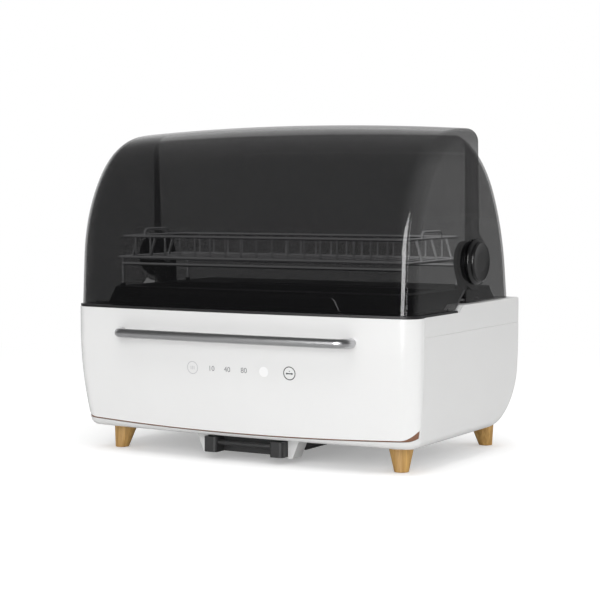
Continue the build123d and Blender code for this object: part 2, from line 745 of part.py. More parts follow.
with BuildPart() as hub_washers:
    for side in (-1, 1):
        add(across(side, washer_x, washer_x + 0.6, 20.0))
    add(across(1, -width, width, hub_bore), mode=Mode.SUBTRACT)
write(hub_washers, "hub_washers")

with BuildPart() as hub_bushes:
    for side in (-1, 1):
        add(across(side, hood_side_x, hood_half + 0.5, bush_radius - pin_gap))
        add(across(side, hood_half, hood_half + 1, cap_flange))
    add(across(1, -width, width, hub_bore), mode=Mode.SUBTRACT)
write(hub_bushes, "hub_bushes")

with BuildPart() as rest_pads:
    for x, y in pad_spots:
        add(rod((x, y, flange_top_z + 0.1), (x, y, hood_low_z + 2.4), 0.85))
        add(rod((x, y, flange_top_z + 0.1), (x, y, hood_low_z), 1.2))
write(rest_pads, "rest_pads")

with BuildPart() as hinge_screws:
    for x, y in hinge_screw_spots:
        add(screw((x, y, rear_rim_z - 9), (x, y, rear_rim_z + 3), (x, y, rear_rim_z + 3 + head_thick), screw_radius,
                  head_radius))
write(hinge_screws, "hinge_screws")

with BuildPart() as cover_screws:
    for x, y in cover_screw_spots:
        add(screw((x, y, rear_rim_z + 7.5), (x, y, rear_rim_z - wall), (x, y, rear_rim_z - wall - head_thick),
                  screw_radius, head_radius))
write(cover_screws, "cover_screws")

# Dish rack: two wire rings tied by dividers, with rails, legs and lifting loops
rack_middle_y = seam_y + (rack_front + rack_rear) / 2
leg_x = rack_half - rack_lean
leg_spots = [(side * leg_x, seam_y + y) for side in (-1, 1) for y in (rack_front, rack_rear)]
leg_cap_z = deck_top_z + 4.0


def wire(points, radius, closed=False):
    # A wire with flat sides along straight runs with mitred bends.
    with BuildPart() as bent:
        with BuildLine() as path:
            Polyline(*points, close=closed)
        with BuildSketch(Plane(origin=path.line @ 0, z_dir=path.line % 0)):
            RegularPolygon(radius, wire_sides, rotation=180 / wire_sides)
        sweep(transition=Transition.RIGHT)
    return bent.part


def wire_ring(half, z):
    # A closed wire rectangle that starts in the middle of its front run.
    return wire([(0, front_wall_y, z), (half, front_wall_y, z), (half, rear_wall_y, z), (-half, rear_wall_y, z),
                 (-half, front_wall_y, z)], rack_wire, closed=True)


def wire_hoop(x, front, rear, low, high):
    # An upright, a run from front to rear and another upright, open where the uprights end.
    return wire([(x, front, high), (x, front, low), (x, rear, low), (x, rear, high)], divider_wire)


front_wall_y = seam_y + rack_front
rear_wall_y = seam_y + rack_rear
rack_bits = [wire_ring(rack_half, rack_floor_z), wire_ring(leg_x, rack_rim_z)]
for i in range(divider_count):
    x = (i - (divider_count - 1) / 2) * divider_pitch
    rack_bits.append(wire_hoop(x, front_wall_y, rear_wall_y, rack_floor_z, rack_rim_z))
for side in (-1, 1):
    for y in (rack_middle_y - 40, rack_middle_y, rack_middle_y + 40):
        rack_bits.append(wire([(side * rack_half, y, rack_floor_z), (side * leg_x, y, rack_rim_z)], divider_wire))
    rack_bits.append(wire_hoop(side * leg_x, seam_y + loop_front, seam_y + loop_rear, rack_loop_z, rack_rim_z))
for y in (front_wall_y, rear_wall_y):
    rack_bits.append(wire([(-leg_x, y, rack_rail_z), (leg_x, y, rack_rail_z)], rack_wire))
for x, y in leg_spots:
    rack_bits.append(wire([(x, y, leg_cap_z - 3), (x, y, rack_floor_z)], rack_wire))
with BuildPart() as dish_rack:
    add(rack_bits)
write(dish_rack, "dish_rack")

with BuildPart() as rack_feet:
    for x, y in leg_spots:
        add(rod((x, y, deck_top_z + 0.05), (x, y, leg_cap_z), 3.2))
        add(rod((x, y, leg_cap_z - 3.1), (x, y, leg_cap_z + 1), rack_wire + pin_gap), mode=Mode.SUBTRACT)
write(rack_feet, "rack_feet")

# Drawer front: a curved shell with its own rounded lower corners, open at the back
front_top_z = rim_z - 0.6
boss_spots = [(side * 185.0, z) for side in (-1, 1) for z in (64.0, 124.0)]
plate_spots = [(side * 200.0, 164.0) for side in (-1, 1)]
handle_ends = [side * handle_half_span for side in (-1, 1)]
face_at_handle = front_y + handle_half_span**2 / (2 * bow_radius)
handle_root_y = face_at_handle + 9.0
handle_boss_y = seam_y - 10.0
plate_y = seam_y - 3.5
sunk_y = seam_y - 2.5
panel_board_y = seam_y - 22.0
panel_board_spots = [(side * 64.0, z) for side in (-1, 1) for z in (94.0, 131.0)]
boss_keep = base_form(1)

with BuildPart() as front_bosses:
    for x, z in boss_spots + plate_spots:
        add(rod((x, front_y, z), (x, plate_y, z), 4.0))
    for x in handle_ends:
        add(rod((x, front_y, handle_z), (x, handle_boss_y, handle_z), 9.0))
    for x, z in panel_board_spots:
        add(rod((x, front_y, z), (x, panel_board_y, z), 3.0))
    add(boss_keep, mode=Mode.INTERSECT)

with BuildPart() as front_cavity:
    add(inner_form)
    add(front_zone(-wall, front_low_corner - wall, -1, 2 * front_swell), mode=Mode.INTERSECT)
    add(box_between((-width, -width, front_top_z - wall), (width, width, width)), mode=Mode.SUBTRACT)

with BuildPart() as drawer_front:
    add(outer_form)
    add(front_zone(0, front_low_corner, slide_gap, 2 * front_swell), mode=Mode.INTERSECT)
    add(box_between((-width, -width, front_top_z), (width, width, width)), mode=Mode.SUBTRACT)
    add(front_cavity.part, mode=Mode.SUBTRACT)
    add(front_bosses.part)
    for x, z in boss_spots + plate_spots:
        add(rod((x, seam_y - 13, z), (x, seam_y, z), screw_radius + pin_gap), mode=Mode.SUBTRACT)
    for x, z in panel_board_spots:
        add(rod((x, panel_board_y - 5.2, z), (x, seam_y, z), screw_radius + pin_gap), mode=Mode.SUBTRACT)
    for x in handle_ends:
        add(rod((x, front_y - 5, handle_z), (x, handle_root_y, handle_z), handle_radius + pin_gap), mode=Mode.SUBTRACT)
        add(rod((x, front_y, handle_z), (x, seam_y, handle_z), foot_screw_radius + 0.2), mode=Mode.SUBTRACT)
write(drawer_front, "drawer_front")

with BuildPart() as trim_strip:
    add(boss_keep)
    add(front_zone(reveal - trim_gap, seat_low_corner, slide_gap, 2 * front_swell), mode=Mode.INTERSECT)
    add(front_zone(0, front_low_corner, -1, 2 * front_swell + 20), mode=Mode.SUBTRACT)
    add(base_form(1 + trim_depth), mode=Mode.SUBTRACT)
write(trim_strip, "trim_strip")

# Handle: a round bar that follows the bow and turns into the panel at both ends
bow_centre = front_y + bow_radius
bar_radius = bow_radius + handle_reach - handle_radius
bar_turn = math.asin((handle_half_span - handle_bend) / (bar_radius - handle_bend))
bend_x = handle_half_span - handle_bend
bend_y = bow_centre - (bar_radius - handle_bend) * math.cos(bar_turn)
bar_degrees = math.degrees(bar_turn)
with BuildPart() as handle:
    bow_axis = Axis((0, bow_centre, 0), (0, 0, 1))
    with BuildSketch(Plane.YZ, mode=Mode.PRIVATE) as bar_section:
        with Locations((bow_centre - bar_radius, handle_z)):
            Circle(handle_radius)
    with BuildSketch(Plane.XZ.offset(-bend_y), mode=Mode.PRIVATE) as root_section:
        with Locations((-handle_half_span, handle_z)):
            Circle(handle_radius)
    revolve(bar_section.sketch.rotate(bow_axis, -bar_degrees), axis=bow_axis, revolution_arc=2 * bar_degrees)
    revolve(bar_section.sketch.rotate(bow_axis, bar_degrees), axis=Axis((bend_x, bend_y, 0), (0, 0, 1)),
            revolution_arc=90 - bar_degrees)
    revolve(root_section.sketch, axis=Axis((-bend_x, bend_y, 0), (0, 0, 1)), revolution_arc=90 - bar_degrees)
    for x in handle_ends:
        add(rod((x, bend_y, handle_z), (x, handle_root_y, handle_z), handle_radius))
    for x in handle_ends:
        add(rod((x, handle_root_y - 11, handle_z), (x, handle_root_y + 1, handle_z), foot_screw_radius + pin_gap),
            mode=Mode.SUBTRACT)
write(handle, "handle")

with BuildPart() as handle_screws:
    for x in handle_ends:
        add(screw((x, handle_root_y - 10, handle_z), (x, handle_boss_y, handle_z), (x, handle_boss_y + 2.5, handle_z),
                  foot_screw_radius, foot_head_radius))
write(handle_screws, "handle_screws")

# Back plate that closes the drawer front, and the drawer box behind it
with BuildPart() as back_plate:
    add(base_form(wall + fit))
    add(front_zone(-wall - fit, front_low_corner - wall - fit, slide_gap + 0.1, 3.0), mode=Mode.INTERSECT)
    add(box_between((-width, -width, front_top_z - wall - fit), (width, width, width)), mode=Mode.SUBTRACT)
    for x, z in boss_spots + plate_spots:
        add(rod((x, seam_y - 10, z), (x, seam_y, z), shank_hole), mode=Mode.SUBTRACT)
    for x, z in plate_spots:
        add(rod((x, sunk_y, z), (x, seam_y, z), head_radius + 0.2), mode=Mode.SUBTRACT)
write(back_plate, "back_plate")

with BuildPart() as drawer_box:
    with BuildSketch(Plane.XY.offset(box_low_z)):
        with Locations((0, seam_y - 0.5 + (box_depth + 0.5) / 2)):
            RectangleRounded(2 * box_half, box_depth + 0.5, 6.0)
    extrude(amount=box_high_z - box_low_z)
    with BuildSketch(Plane.XY.offset(box_low_z + box_wall)):
        with Locations((0, seam_y - 0.5 + (box_depth + 0.5) / 2)):
            RectangleRounded(2 * (box_half - box_wall), box_depth + 0.5 - 2 * box_wall, 4.0)
    extrude(amount=box_high_z, mode=Mode.SUBTRACT)
    rim = drawer_box.faces().sort_by(Axis.Z)[-1].edges()
    fillet(rim, radius=1.0)
    for x, z in boss_spots:
        add(rod((x, seam_y - 2, z), (x, seam_y + 5, z), shank_hole), mode=Mode.SUBTRACT)
write(drawer_box, "drawer_box")

with BuildPart() as drawer_screws:
    for x, z in boss_spots:
        seat_y = seam_y - 0.5 + box_wall
        add(screw((x, seam_y - 12, z), (x, seat_y, z), (x, seat_y + head_thick, z), screw_radius, head_radius))
    for x, z in plate_spots:
        add(screw((x, seam_y - 12, z), (x, sunk_y, z), (x, seam_y - 0.6, z), screw_radius, head_radius))
write(drawer_screws, "drawer_screws")

# Runners: a bar on each side of the drawer box slides in a channel that stands on the floor
bar_low_z = rail_z - rail_height / 2
bar_high_z = rail_z + rail_height / 2
bar_outer = box_half + 0.4 + rail_width
with BuildPart() as slide_bars:
    for side in (-1, 1):
        inner_x, outer_x = sorted((side * box_half, side * bar_outer))
        add(box_between((inner_x, seam_y + 2, bar_low_z), (outer_x, seam_y + rail_length, bar_high_z)))
write(slide_bars, "slide_bars")

web_x = bar_outer + rail_gap
with BuildPart() as runners:
    for side in (-1, 1):
        web_low, web_high = sorted((side * web_x, side * (web_x + rail_sheet)))
        lip_low, lip_high = sorted((side * (box_half + 2.0), side * (web_x + rail_sheet)))
        foot_low, foot_high = sorted((side * (box_half - 4.0), side * (web_x + rail_sheet)))
        top = bar_high_z + rail_gap
        low = bar_low_z - rail_gap
        rear = seam_y + rail_length + 2
        add(box_between((web_low, seam_y + 8, floor_z), (web_high, rear, top + rail_sheet)))
        add(box_between((lip_low, seam_y + 8, top), (lip_high, rear, top + rail_sheet)))
        add(box_between((lip_low, seam_y + 8, low - rail_sheet), (lip_high, rear, low)))
        add(box_between((foot_low, seam_y + 34, floor_z), (foot_high, rear - 12, floor_z + rail_sheet)))
    for x, y in rail_spots:
        add(rod((x, y, floor_z - 1), (x, y, floor_z + 4), shank_hole), mode=Mode.SUBTRACT)
write(runners, "runners")

with BuildPart() as runner_screws:
    for x, y in rail_spots:
        seat_z = floor_z + rail_sheet
        add(screw((x, y, floor_z - 2.3), (x, y, seat_z), (x, y, seat_z + head_thick), screw_radius, head_radius))
write(runner_screws, "runner_screws")

with BuildPart() as control_board:
    add(box_between((-70, panel_board_y, 90), (70, panel_board_y + board_thick, 135)))
    add(box_between((-30, panel_board_y + board_thick, 104), (-8, panel_board_y + 4, 122)))
    add(box_between((12, panel_board_y + board_thick, 100), (34, panel_board_y + 8, 108)))
    for x in (-55.0, 44.0):
        add(rod((x, panel_board_y - 2, 111.7), (x, panel_board_y, 111.7), 5.0))
    for x, z in panel_board_spots:
        add(rod((x, panel_board_y - 1, z), (x, panel_board_y + 3, z), shank_hole), mode=Mode.SUBTRACT)
write(control_board, "control_board")

with BuildPart() as control_screws:
    for x, z in panel_board_spots:
        seat_y = panel_board_y + board_thick
        add(screw((x, panel_board_y - 5, z), (x, seat_y, z), (x, seat_y + head_thick, z), screw_radius, head_radius))
write(control_screws, "control_screws")

# Drip tray: a shallow black pan under the base behind a deeper front with a finger bar between two blocks
tray_nose = tray_front + 18.0
with BuildPart() as drip_tray:
    nose_y = seam_y + tray_nose
    add(box_between((-tray_half, nose_y, tray_pan_z), (tray_half, seam_y + tray_rear, tray_high_z)))
    add(box_between((-tray_half, nose_y, tray_low_z), (tray_half, nose_y + tray_wall, tray_high_z)))
    for side in (-1, 1):
        nose_low, nose_high = sorted((side * (tray_half - tray_grip), side * tray_half))
        add(box_between((nose_low, seam_y + tray_front, tray_low_z), (nose_high, nose_y + 1, tray_high_z)))
    upright = drip_tray.edges().filter_by(Axis.Z).filter_by(lambda e: abs(e.center().X) > tray_half - tray_grip - 1)
    fillet(upright.filter_by(lambda e: e.center().Y < nose_y - 1), radius=4.0)
    fillet(upright.filter_by(lambda e: e.center().Y > seam_y + tray_rear - 1), radius=4.0)
    add(box_between((tray_wall - tray_half, nose_y + tray_wall, tray_pan_z + tray_wall),
                    (tray_half - tray_wall, seam_y + tray_rear - tray_wall, tray_high_z + 1)), mode=Mode.SUBTRACT)
    bar_y = seam_y + tray_front + 7
    add(rod((tray_grip - 1 - tray_half, bar_y, 20.0), (tray_half - tray_grip + 1, bar_y, 20.0), 3.0))
write(drip_tray, "drip_tray")

# Tray housing: a black guide that carries the pan by two inward ledges
with BuildPart() as tray_housing:
    slot_half = tray_half + tray_side_gap
    pan_slot_z = tray_pan_z - 0.4
    slot_rear = seam_y + tray_rear + 1
    add(box_between((-housing_half, seam_y + housing_front, pan_slot_z - tray_wall),
                    (housing_half, seam_y + housing_rear, underside_z)))
    for x, y in housing_spots:
        inner_x = math.copysign(housing_half - 1, x)
        outer_x = x + math.copysign(5, x)
        add(box_between((min(inner_x, outer_x), y - 6, underside_z - 3), (max(inner_x, outer_x), y + 6, underside_z)))
    add(box_between((-slot_half, -width, pan_slot_z), (slot_half, slot_rear, underside_z + 1)), mode=Mode.SUBTRACT)
    add(box_between((ledge_width - tray_half, -width, 0), (tray_half - ledge_width, slot_rear, underside_z)),
        mode=Mode.SUBTRACT)
    for x, y in housing_spots:
        add(rod((x, y, underside_z - 4), (x, y, underside_z + 1), shank_hole), mode=Mode.SUBTRACT)
write(tray_housing, "tray_housing")

with BuildPart() as housing_screws:
    for x, y in housing_spots:
        seat_z = underside_z - wall
        add(screw((x, y, underside_z + 2), (x, y, seat_z), (x, y, seat_z - head_thick), screw_radius, head_radius))
write(housing_screws, "housing_screws")

# Warm air: a duct under the grille holds the heater and the fan
duct_half = fan_size / 2 + 0.2
fan_y = seam_y + fan_middle
fan_top_z = fan_low_z + fan_thick
heater_top_z = fan_top_z + heater_thick
duct_top_z = deck_top_z - pocket_shell


def square_block(half, low_z, high_z):
    return box_between((-half, fan_y - half, low_z), (half, fan_y + half, high_z))


with BuildPart() as air_duct:
    add(square_block(duct_half + duct_wall, fan_low_z - duct_wall, duct_top_z))
    for x, y in duct_spots:
        inner_x = math.copysign(duct_half, x)
        outer_x = math.copysign(abs(x) + 4.5, x)
        add(box_between((min(inner_x, outer_x), y - 5, duct_ear_z - duct_wall), (max(inner_x, outer_x), y + 5, duct_ear_z)))
    add(square_block(duct_half, fan_low_z, duct_top_z + 1), mode=Mode.SUBTRACT)
    add(square_block(duct_half - 3, fan_low_z - duct_wall - 1, fan_low_z + 1), mode=Mode.SUBTRACT)
    for x, y in duct_spots:
        add(rod((x, y, duct_ear_z - 5), (x, y, duct_ear_z + 1), shank_hole), mode=Mode.SUBTRACT)
write(air_duct, "air_duct")

with BuildPart() as duct_screws:
    for x, y in duct_spots:
        seat_z = duct_ear_z - duct_wall
        add(screw((x, y, duct_ear_z + 6), (x, y, seat_z), (x, y, seat_z - head_thick), screw_radius, head_radius))
write(duct_screws, "duct_screws")

motor_radius = 11.0
cup_radius = 14.0
cup_bore = 12.3
hub_plate = 2.0
bearing_radius = 3.5
shaft_radius = 1.5
bearing_top_z = fan_low_z + 13.0
with BuildPart() as fan_frame:
    add(square_block(fan_size / 2, fan_low_z, fan_top_z))
    fillet(fan_frame.edges().filter_by(Axis.Z), radius=3.0)
    add(rod((0, fan_y, 0), (0, fan_y, fan_top_z + 1), fan_bore), mode=Mode.SUBTRACT)
    add(rod((0, fan_y, fan_low_z), (0, fan_y, fan_low_z + hub_plate), 12.0))
    with BuildSketch(Plane.XY.offset(fan_low_z)):
        with Locations((0, fan_y)):
            with PolarLocations((fan_bore + 12) / 2, 3, start_angle=90):
                Rectangle(fan_bore - 10.5, 4.0)
    extrude(amount=hub_plate)
    add(rod((0, fan_y, fan_low_z), (0, fan_y, bearing_top_z), bearing_radius))
    add(rod((0, fan_y, 0), (0, fan_y, fan_top_z), shaft_radius + pin_gap), mode=Mode.SUBTRACT)
write(fan_frame, "fan_frame")

with BuildPart() as fan_motor:
    add(rod((0, fan_y, fan_low_z + hub_plate), (0, fan_y, bearing_top_z - 0.5), motor_radius))
    add(rod((0, fan_y, 0), (0, fan_y, fan_top_z), bearing_radius + pin_gap), mode=Mode.SUBTRACT)
write(fan_motor, "fan_motor")

blade_count = 7
with BuildPart() as fan_rotor:
    add(rod((0, fan_y, fan_low_z + hub_plate + 1.5), (0, fan_y, fan_top_z - 2), cup_radius))
    blade_plane = Plane(origin=(cup_radius - 1, fan_y, fan_top_z - 9), z_dir=(1, 0, 0))
    blade_parts = []
    with BuildSketch(blade_plane, mode=Mode.PRIVATE) as blade_outline:
        Rectangle(14.0, 1.4, rotation=35)
    for i in range(blade_count):
        blade = extrude(blade_outline.sketch, amount=fan_bore - 1.3 - cup_radius + 1, mode=Mode.PRIVATE)
        add(blade.rotate(Axis((0, fan_y, 0), (0, 0, 1)), i * 360 / blade_count))
    add(rod((0, fan_y, 0), (0, fan_y, fan_top_z - 4), cup_bore), mode=Mode.SUBTRACT)
    add(rod((0, fan_y, fan_low_z + 1), (0, fan_y, fan_top_z - 3), shaft_radius))
write(fan_rotor, "fan_rotor")

with BuildPart() as heater:
    add(square_block(fan_size / 2, fan_top_z, heater_top_z))
    add(square_block(fan_size / 2 - 4, fan_top_z - 1, heater_top_z + 1), mode=Mode.SUBTRACT)
    for i in range(11):
        x = (i - 5) * 6.0
        add(box_between((x - 0.6, fan_y - fan_size / 2 + 3, fan_top_z + 1), (x + 0.6, fan_y + fan_size / 2 - 3, heater_top_z - 1)))
write(heater, "heater")

# Ultraviolet lamp in the trough, held by its pins
lamp_y = seam_y + (trough_front + trough_rear) / 2
lamp_z = deck_top_z - trough_depth + 10.0
holder_inner = lamp_half + 2.0
with BuildPart() as uv_lamp:
    add(rod((-lamp_half, lamp_y, lamp_z), (lamp_half, lamp_y, lamp_z), lamp_radius))
    for side in (-1, 1):
        end = uv_lamp.faces().sort_by(Axis.X)[0 if side < 0 else -1]
        chamfer(end.edges(), length=1.2)
        for z in (-3.0, 3.0):
            add(rod((side * (lamp_half - 1), lamp_y, lamp_z + z), (side * (holder_inner + 5), lamp_y, lamp_z + z), 1.0))
write(uv_lamp, "uv_lamp")

with BuildPart() as lamp_holders:
    for side in (-1, 1):
        inner_x, outer_x = sorted((side * holder_inner, side * (holder_inner + 8)))
        add(box_between((inner_x, lamp_y - 7.5, deck_top_z - trough_depth), (outer_x, lamp_y + 7.5, lamp_z + 8)))
        for z in (-3.0, 3.0):
            add(rod((side * (holder_inner - 1), lamp_y, lamp_z + z), (side * (holder_inner + 6), lamp_y, lamp_z + z), 1.05),
                mode=Mode.SUBTRACT)
write(lamp_holders, "lamp_holders")

# Drain hose from the basin's spout to the nipple over the drip tray
hose_top_z = basin_floor_z - pocket_shell - 1.0
with BuildPart() as drain_hose:
    with BuildLine() as hose_path:
        FilletPolyline((*spout, hose_top_z), (*spout, 160.0), (*drain_spot, 152.0), (*drain_spot, floor_z + 1), radius=14.0)
    with BuildSketch(Plane(origin=(*spout, hose_top_z), z_dir=(0, 0, -1))):
        RegularPolygon(hose_radius, 12)
        RegularPolygon(hose_bore, 12, major_radius=False, mode=Mode.SUBTRACT)
    sweep()
write(drain_hose, "drain_hose")

# Power inlet and power board at the rear
rear_inner_y = rear_y - wall
with BuildPart() as power_inlet:
    add(box_between((inlet_x - inlet_width / 2 + 0.2, rear_inner_y - 22, inlet_z - inlet_height / 2 + 0.2),
                    (inlet_x + inlet_width / 2 - 0.2, rear_y, inlet_z + inlet_height / 2 - 0.2)))
    add(box_between((inlet_x - inlet_width / 2 - 4, rear_inner_y - 3, inlet_z - inlet_height / 2 - 4),
                    (inlet_x + inlet_width / 2 + 4, rear_inner_y - 0.1, inlet_z + inlet_height / 2 + 4)))
    add(box_between((inlet_x - inlet_width / 2 + 3, rear_inner_y - 14, inlet_z - inlet_height / 2 + 3),
                    (inlet_x + inlet_width / 2 - 3, rear_y + 1, inlet_z + inlet_height / 2 - 3)), mode=Mode.SUBTRACT)
    for x, z in ((-7, -2), (0, 3), (7, -2)):
        add(box_between((inlet_x + x - 1, rear_inner_y - 15, inlet_z + z - 2), (inlet_x + x + 1, rear_y - 2, inlet_z + z + 2)))
write(power_inlet, "power_inlet")

with BuildPart() as power_board:
    add(box_between((80, board_y, 92), (190, board_y + board_thick, 146)))
    add(box_between((96, board_y - 22, 104), (124, board_y, 130)))
    add(rod((142, board_y - 24, 118), (142, board_y, 118), 8.0))
    add(box_between((158, board_y - 15, 100), (172, board_y, 112)))
    add(box_between((158, board_y - 15, 118), (172, board_y, 130)))
    for x, z in board_spots:
        add(rod((x, board_y - 1, z), (x, board_y + 3, z), shank_hole), mode=Mode.SUBTRACT)
write(power_board, "power_board")

with BuildPart() as board_screws:
    for x, z in board_spots:
        add(screw((x, board_y + 7, z), (x, board_y, z), (x, board_y - head_thick, z), screw_radius, head_radius))
write(board_screws, "board_screws")
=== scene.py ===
import json
import math
import bpy
import bmesh
from mathutils import Matrix, Vector
from mathutils.bvhtree import BVHTree


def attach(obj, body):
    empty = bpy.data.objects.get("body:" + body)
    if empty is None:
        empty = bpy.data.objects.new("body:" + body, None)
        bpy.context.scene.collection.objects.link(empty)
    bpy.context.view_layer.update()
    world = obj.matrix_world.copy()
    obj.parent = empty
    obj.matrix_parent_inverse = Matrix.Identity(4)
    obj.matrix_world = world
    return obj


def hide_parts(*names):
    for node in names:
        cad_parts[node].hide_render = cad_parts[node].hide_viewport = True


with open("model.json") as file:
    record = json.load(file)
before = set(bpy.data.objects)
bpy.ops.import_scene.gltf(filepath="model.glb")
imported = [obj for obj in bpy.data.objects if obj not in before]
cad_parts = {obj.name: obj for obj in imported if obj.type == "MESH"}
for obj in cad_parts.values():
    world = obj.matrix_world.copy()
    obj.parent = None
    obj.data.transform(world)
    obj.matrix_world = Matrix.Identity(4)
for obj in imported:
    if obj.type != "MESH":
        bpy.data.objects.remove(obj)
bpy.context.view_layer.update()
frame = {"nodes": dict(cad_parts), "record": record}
nodes = frame["nodes"]
record = frame["record"]
bodyOfNode = {node: body for body, members in record["behaviour"]["bodies"].items()
              for node in members}
slotOfNode = {entry["node"]: entry["material_slot"] for entry in record["subparts"]}
print("frame loaded:", len(nodes), "nodes")


def newPiece(name, data):
    piece = bpy.data.objects.new(name, data)
    bpy.context.scene.collection.objects.link(piece)
    return piece


# Camera, at the photograph's viewing angle; turns are in degrees, the lens in millimetres.
cameraSetup = {"place": (1.066, -1.80895, 0.3262), "yaw": 30.26, "pitch": -3.84, "roll": -0.16,
               "lens": 102.0, "sensor": 36.0, "near": 0.05, "far": 60.0}


def makeCamera(setup):
    data = bpy.data.cameras.new("viewCamera")
    data.lens = setup["lens"]
    data.sensor_width = setup["sensor"]
    data.clip_start = setup["near"]
    data.clip_end = setup["far"]
    camera = newPiece("viewCamera", data)
    turn = Matrix.Rotation(math.radians(setup["yaw"]), 4, "Z")
    tilt = Matrix.Rotation(math.radians(90 + setup["pitch"]), 4, "X")
    roll = Matrix.Rotation(math.radians(setup["roll"]), 4, "Z")
    camera.matrix_world = Matrix.Translation(setup["place"]) @ turn @ tilt @ roll
    bpy.context.scene.camera = camera


makeCamera(cameraSetup)

# Helpers for node trees, used by the finishes, the rack and the stage.
mixSockets = {"FLOAT": (2, 3, 0), "RGBA": (6, 7, 2)}  # where a mix node has A, B and its result
white = (1, 1, 1, 1)


def fillSockets(tree, node, values):
    # Each socket takes a plain value or another node's output.
    for socket, value in values.items():
        if isinstance(value, bpy.types.NodeSocket):
            tree.links.new(value, node.inputs[socket])
        else:
            node.inputs[socket].default_value = value


def addNode(tree, kind, values=None, **fields):
    # The node's own fields are set first, because they decide which sockets it has.
    node = tree.nodes.new(kind)
    for field, setting in fields.items():
        setattr(node, field, setting)
    fillSockets(tree, node, values or {})
    return node


def addMath(tree, operation, *values):
    return addNode(tree, "ShaderNodeMath", dict(enumerate(values)), operation=operation).outputs[0]


def addRange(tree, value, span, result=(0.0, 1.0), **fields):
    # The value's span is mapped onto the result, and held at its ends.
    values = {"Value": value, "From Min": span[0], "From Max": span[1],
              "To Min": result[0], "To Max": result[1]}
    return addNode(tree, "ShaderNodeMapRange", values, **fields).outputs[0]


def addMix(tree, factor, first, second, kind="FLOAT"):
    firstAt, secondAt, resultAt = mixSockets[kind]
    values = {"Factor": factor, firstAt: first, secondAt: second}
    return addNode(tree, "ShaderNodeMix", values, data_type=kind).outputs[resultAt]


def addRamp(tree, value, *stops):
    # A colour ramp; each of its two stops is a place and a colour.
    ramp = addNode(tree, "ShaderNodeValToRGB", {"Fac": value})
    for element, (place, colour) in zip(ramp.color_ramp.elements, stops):
        element.position = place
        element.color = (*colour, 1)
    return ramp.outputs["Color"]


def addNoise(tree, vector, scale, detail, distortion=0.0):
    values = {"Vector": vector, "Scale": scale, "Detail": detail, "Distortion": distortion}
    return addNode(tree, "ShaderNodeTexNoise", values).outputs["Fac"]


def surfaceOutputs(tree):
    return addNode(tree, "ShaderNodeTexCoord").outputs


def splitVector(tree, vector):
    return addNode(tree, "ShaderNodeSeparateXYZ", {0: vector}).outputs


def startGroup(name, kind, inputs, outputs):
    # A node group: each input has its form and first value, each output its form.
    group = bpy.data.node_groups.new(name, kind)
    for socket, (form, value) in inputs.items():
        made = group.interface.new_socket(name=socket, in_out="INPUT",
                                          socket_type="NodeSocket" + form)
        if value is not None:
            made.default_value = value
    for socket, form in outputs.items():
        group.interface.new_socket(name=socket, in_out="OUTPUT", socket_type="NodeSocket" + form)
    entry = group.nodes.new("NodeGroupInput").outputs
    leave = group.nodes.new("NodeGroupOutput")
    return group, entry, leave


# Shared shader groups.
finishOutputs = {"Colour": "Color", "Roughness": "Float", "Height": "Float"}
mouldedSetup = {"grainDetail": 3, "cloudSize": 14.0, "cloudDetail": 4, "coatGloss": 0.08,
                "depth": 0.0001}
brushSetup = {"detail": 2, "uneven": 0.12, "depth": 0.00005}


def makeMouldedGroup(setup):
    # Fine moulded grain: a colour that varies a little, an uneven gloss and a low relief.
    group, entry, leave = startGroup(
        "mouldedGrain", "ShaderNodeTree",
        {"Colour": ("Color", (0.8, 0.8, 0.8, 1)), "Gloss": ("Float", 0.3),
         "Grain Size": ("Float", 900.0), "Patchiness": ("Float", 0.05)}, finishOutputs)
    place = surfaceOutputs(group)["Object"]
    grain = addNoise(group, place, entry["Grain Size"], setup["grainDetail"])
    cloud = addNoise(group, place, setup["cloudSize"], setup["cloudDetail"])
    spread = addMath(group, "SUBTRACT", cloud, 0.5)
    shift = addMath(group, "MULTIPLY", spread, entry["Patchiness"])
    rough = addMath(group, "ADD", entry["Gloss"], shift)
    bright = addMath(group, "ADD", 1.0, shift)
    tint = addNode(group, "ShaderNodeVectorMath", {0: entry["Colour"], "Scale": bright},
                   operation="SCALE")
    fillSockets(group, leave, {"Colour": tint.outputs[0], "Roughness": rough, "Height": grain})
    return group


def makeBrushGroup(setup):
    # Fine parallel lines from brushing, drawn out along the piece.
    group, entry, leave = startGroup(
        "brushLines", "ShaderNodeTree",
        {"Stretch": ("Vector", (40.0, 3000.0, 3000.0)), "Dark": ("Color", (0.5, 0.5, 0.51, 1)),
         "Light": ("Color", (0.75, 0.75, 0.76, 1)), "Gloss": ("Float", 0.25)}, finishOutputs)
    place = surfaceOutputs(group)["Object"]
    drawn = addNode(group, "ShaderNodeVectorMath", {0: place, 1: entry["Stretch"]},
                    operation="MULTIPLY")
    lines = addNoise(group, drawn.outputs[0], 1.0, setup["detail"])
    blend = addMix(group, lines, entry["Dark"], entry["Light"], "RGBA")
    rough = addMath(group, "MULTIPLY_ADD", lines, setup["uneven"], entry["Gloss"])
    fillSockets(group, leave, {"Colour": blend, "Roughness": rough, "Height": lines})
    return group


mouldedGroup = makeMouldedGroup(mouldedSetup)
brushGroup = makeBrushGroup(brushSetup)


def startMaterial(name):
    material = bpy.data.materials.new(name)
    material.use_nodes = True
    tree = material.node_tree
    return material, tree, tree.nodes["Principled BSDF"]


def addGroup(tree, shader, group, values):
    # A shared group gives the shader its colour and its roughness.
    node = addNode(tree, "ShaderNodeGroup", values, node_tree=group)
    fillSockets(tree, shader, {"Base Color": node.outputs["Colour"],
                               "Roughness": node.outputs["Roughness"]})
    return node


def addRelief(tree, shader, height, strength, depth):
    bump = addNode(tree, "ShaderNodeBump",
                   {"Strength": strength, "Distance": depth, "Height": height})
    fillSockets(tree, shader, {"Normal": bump.outputs["Normal"]})


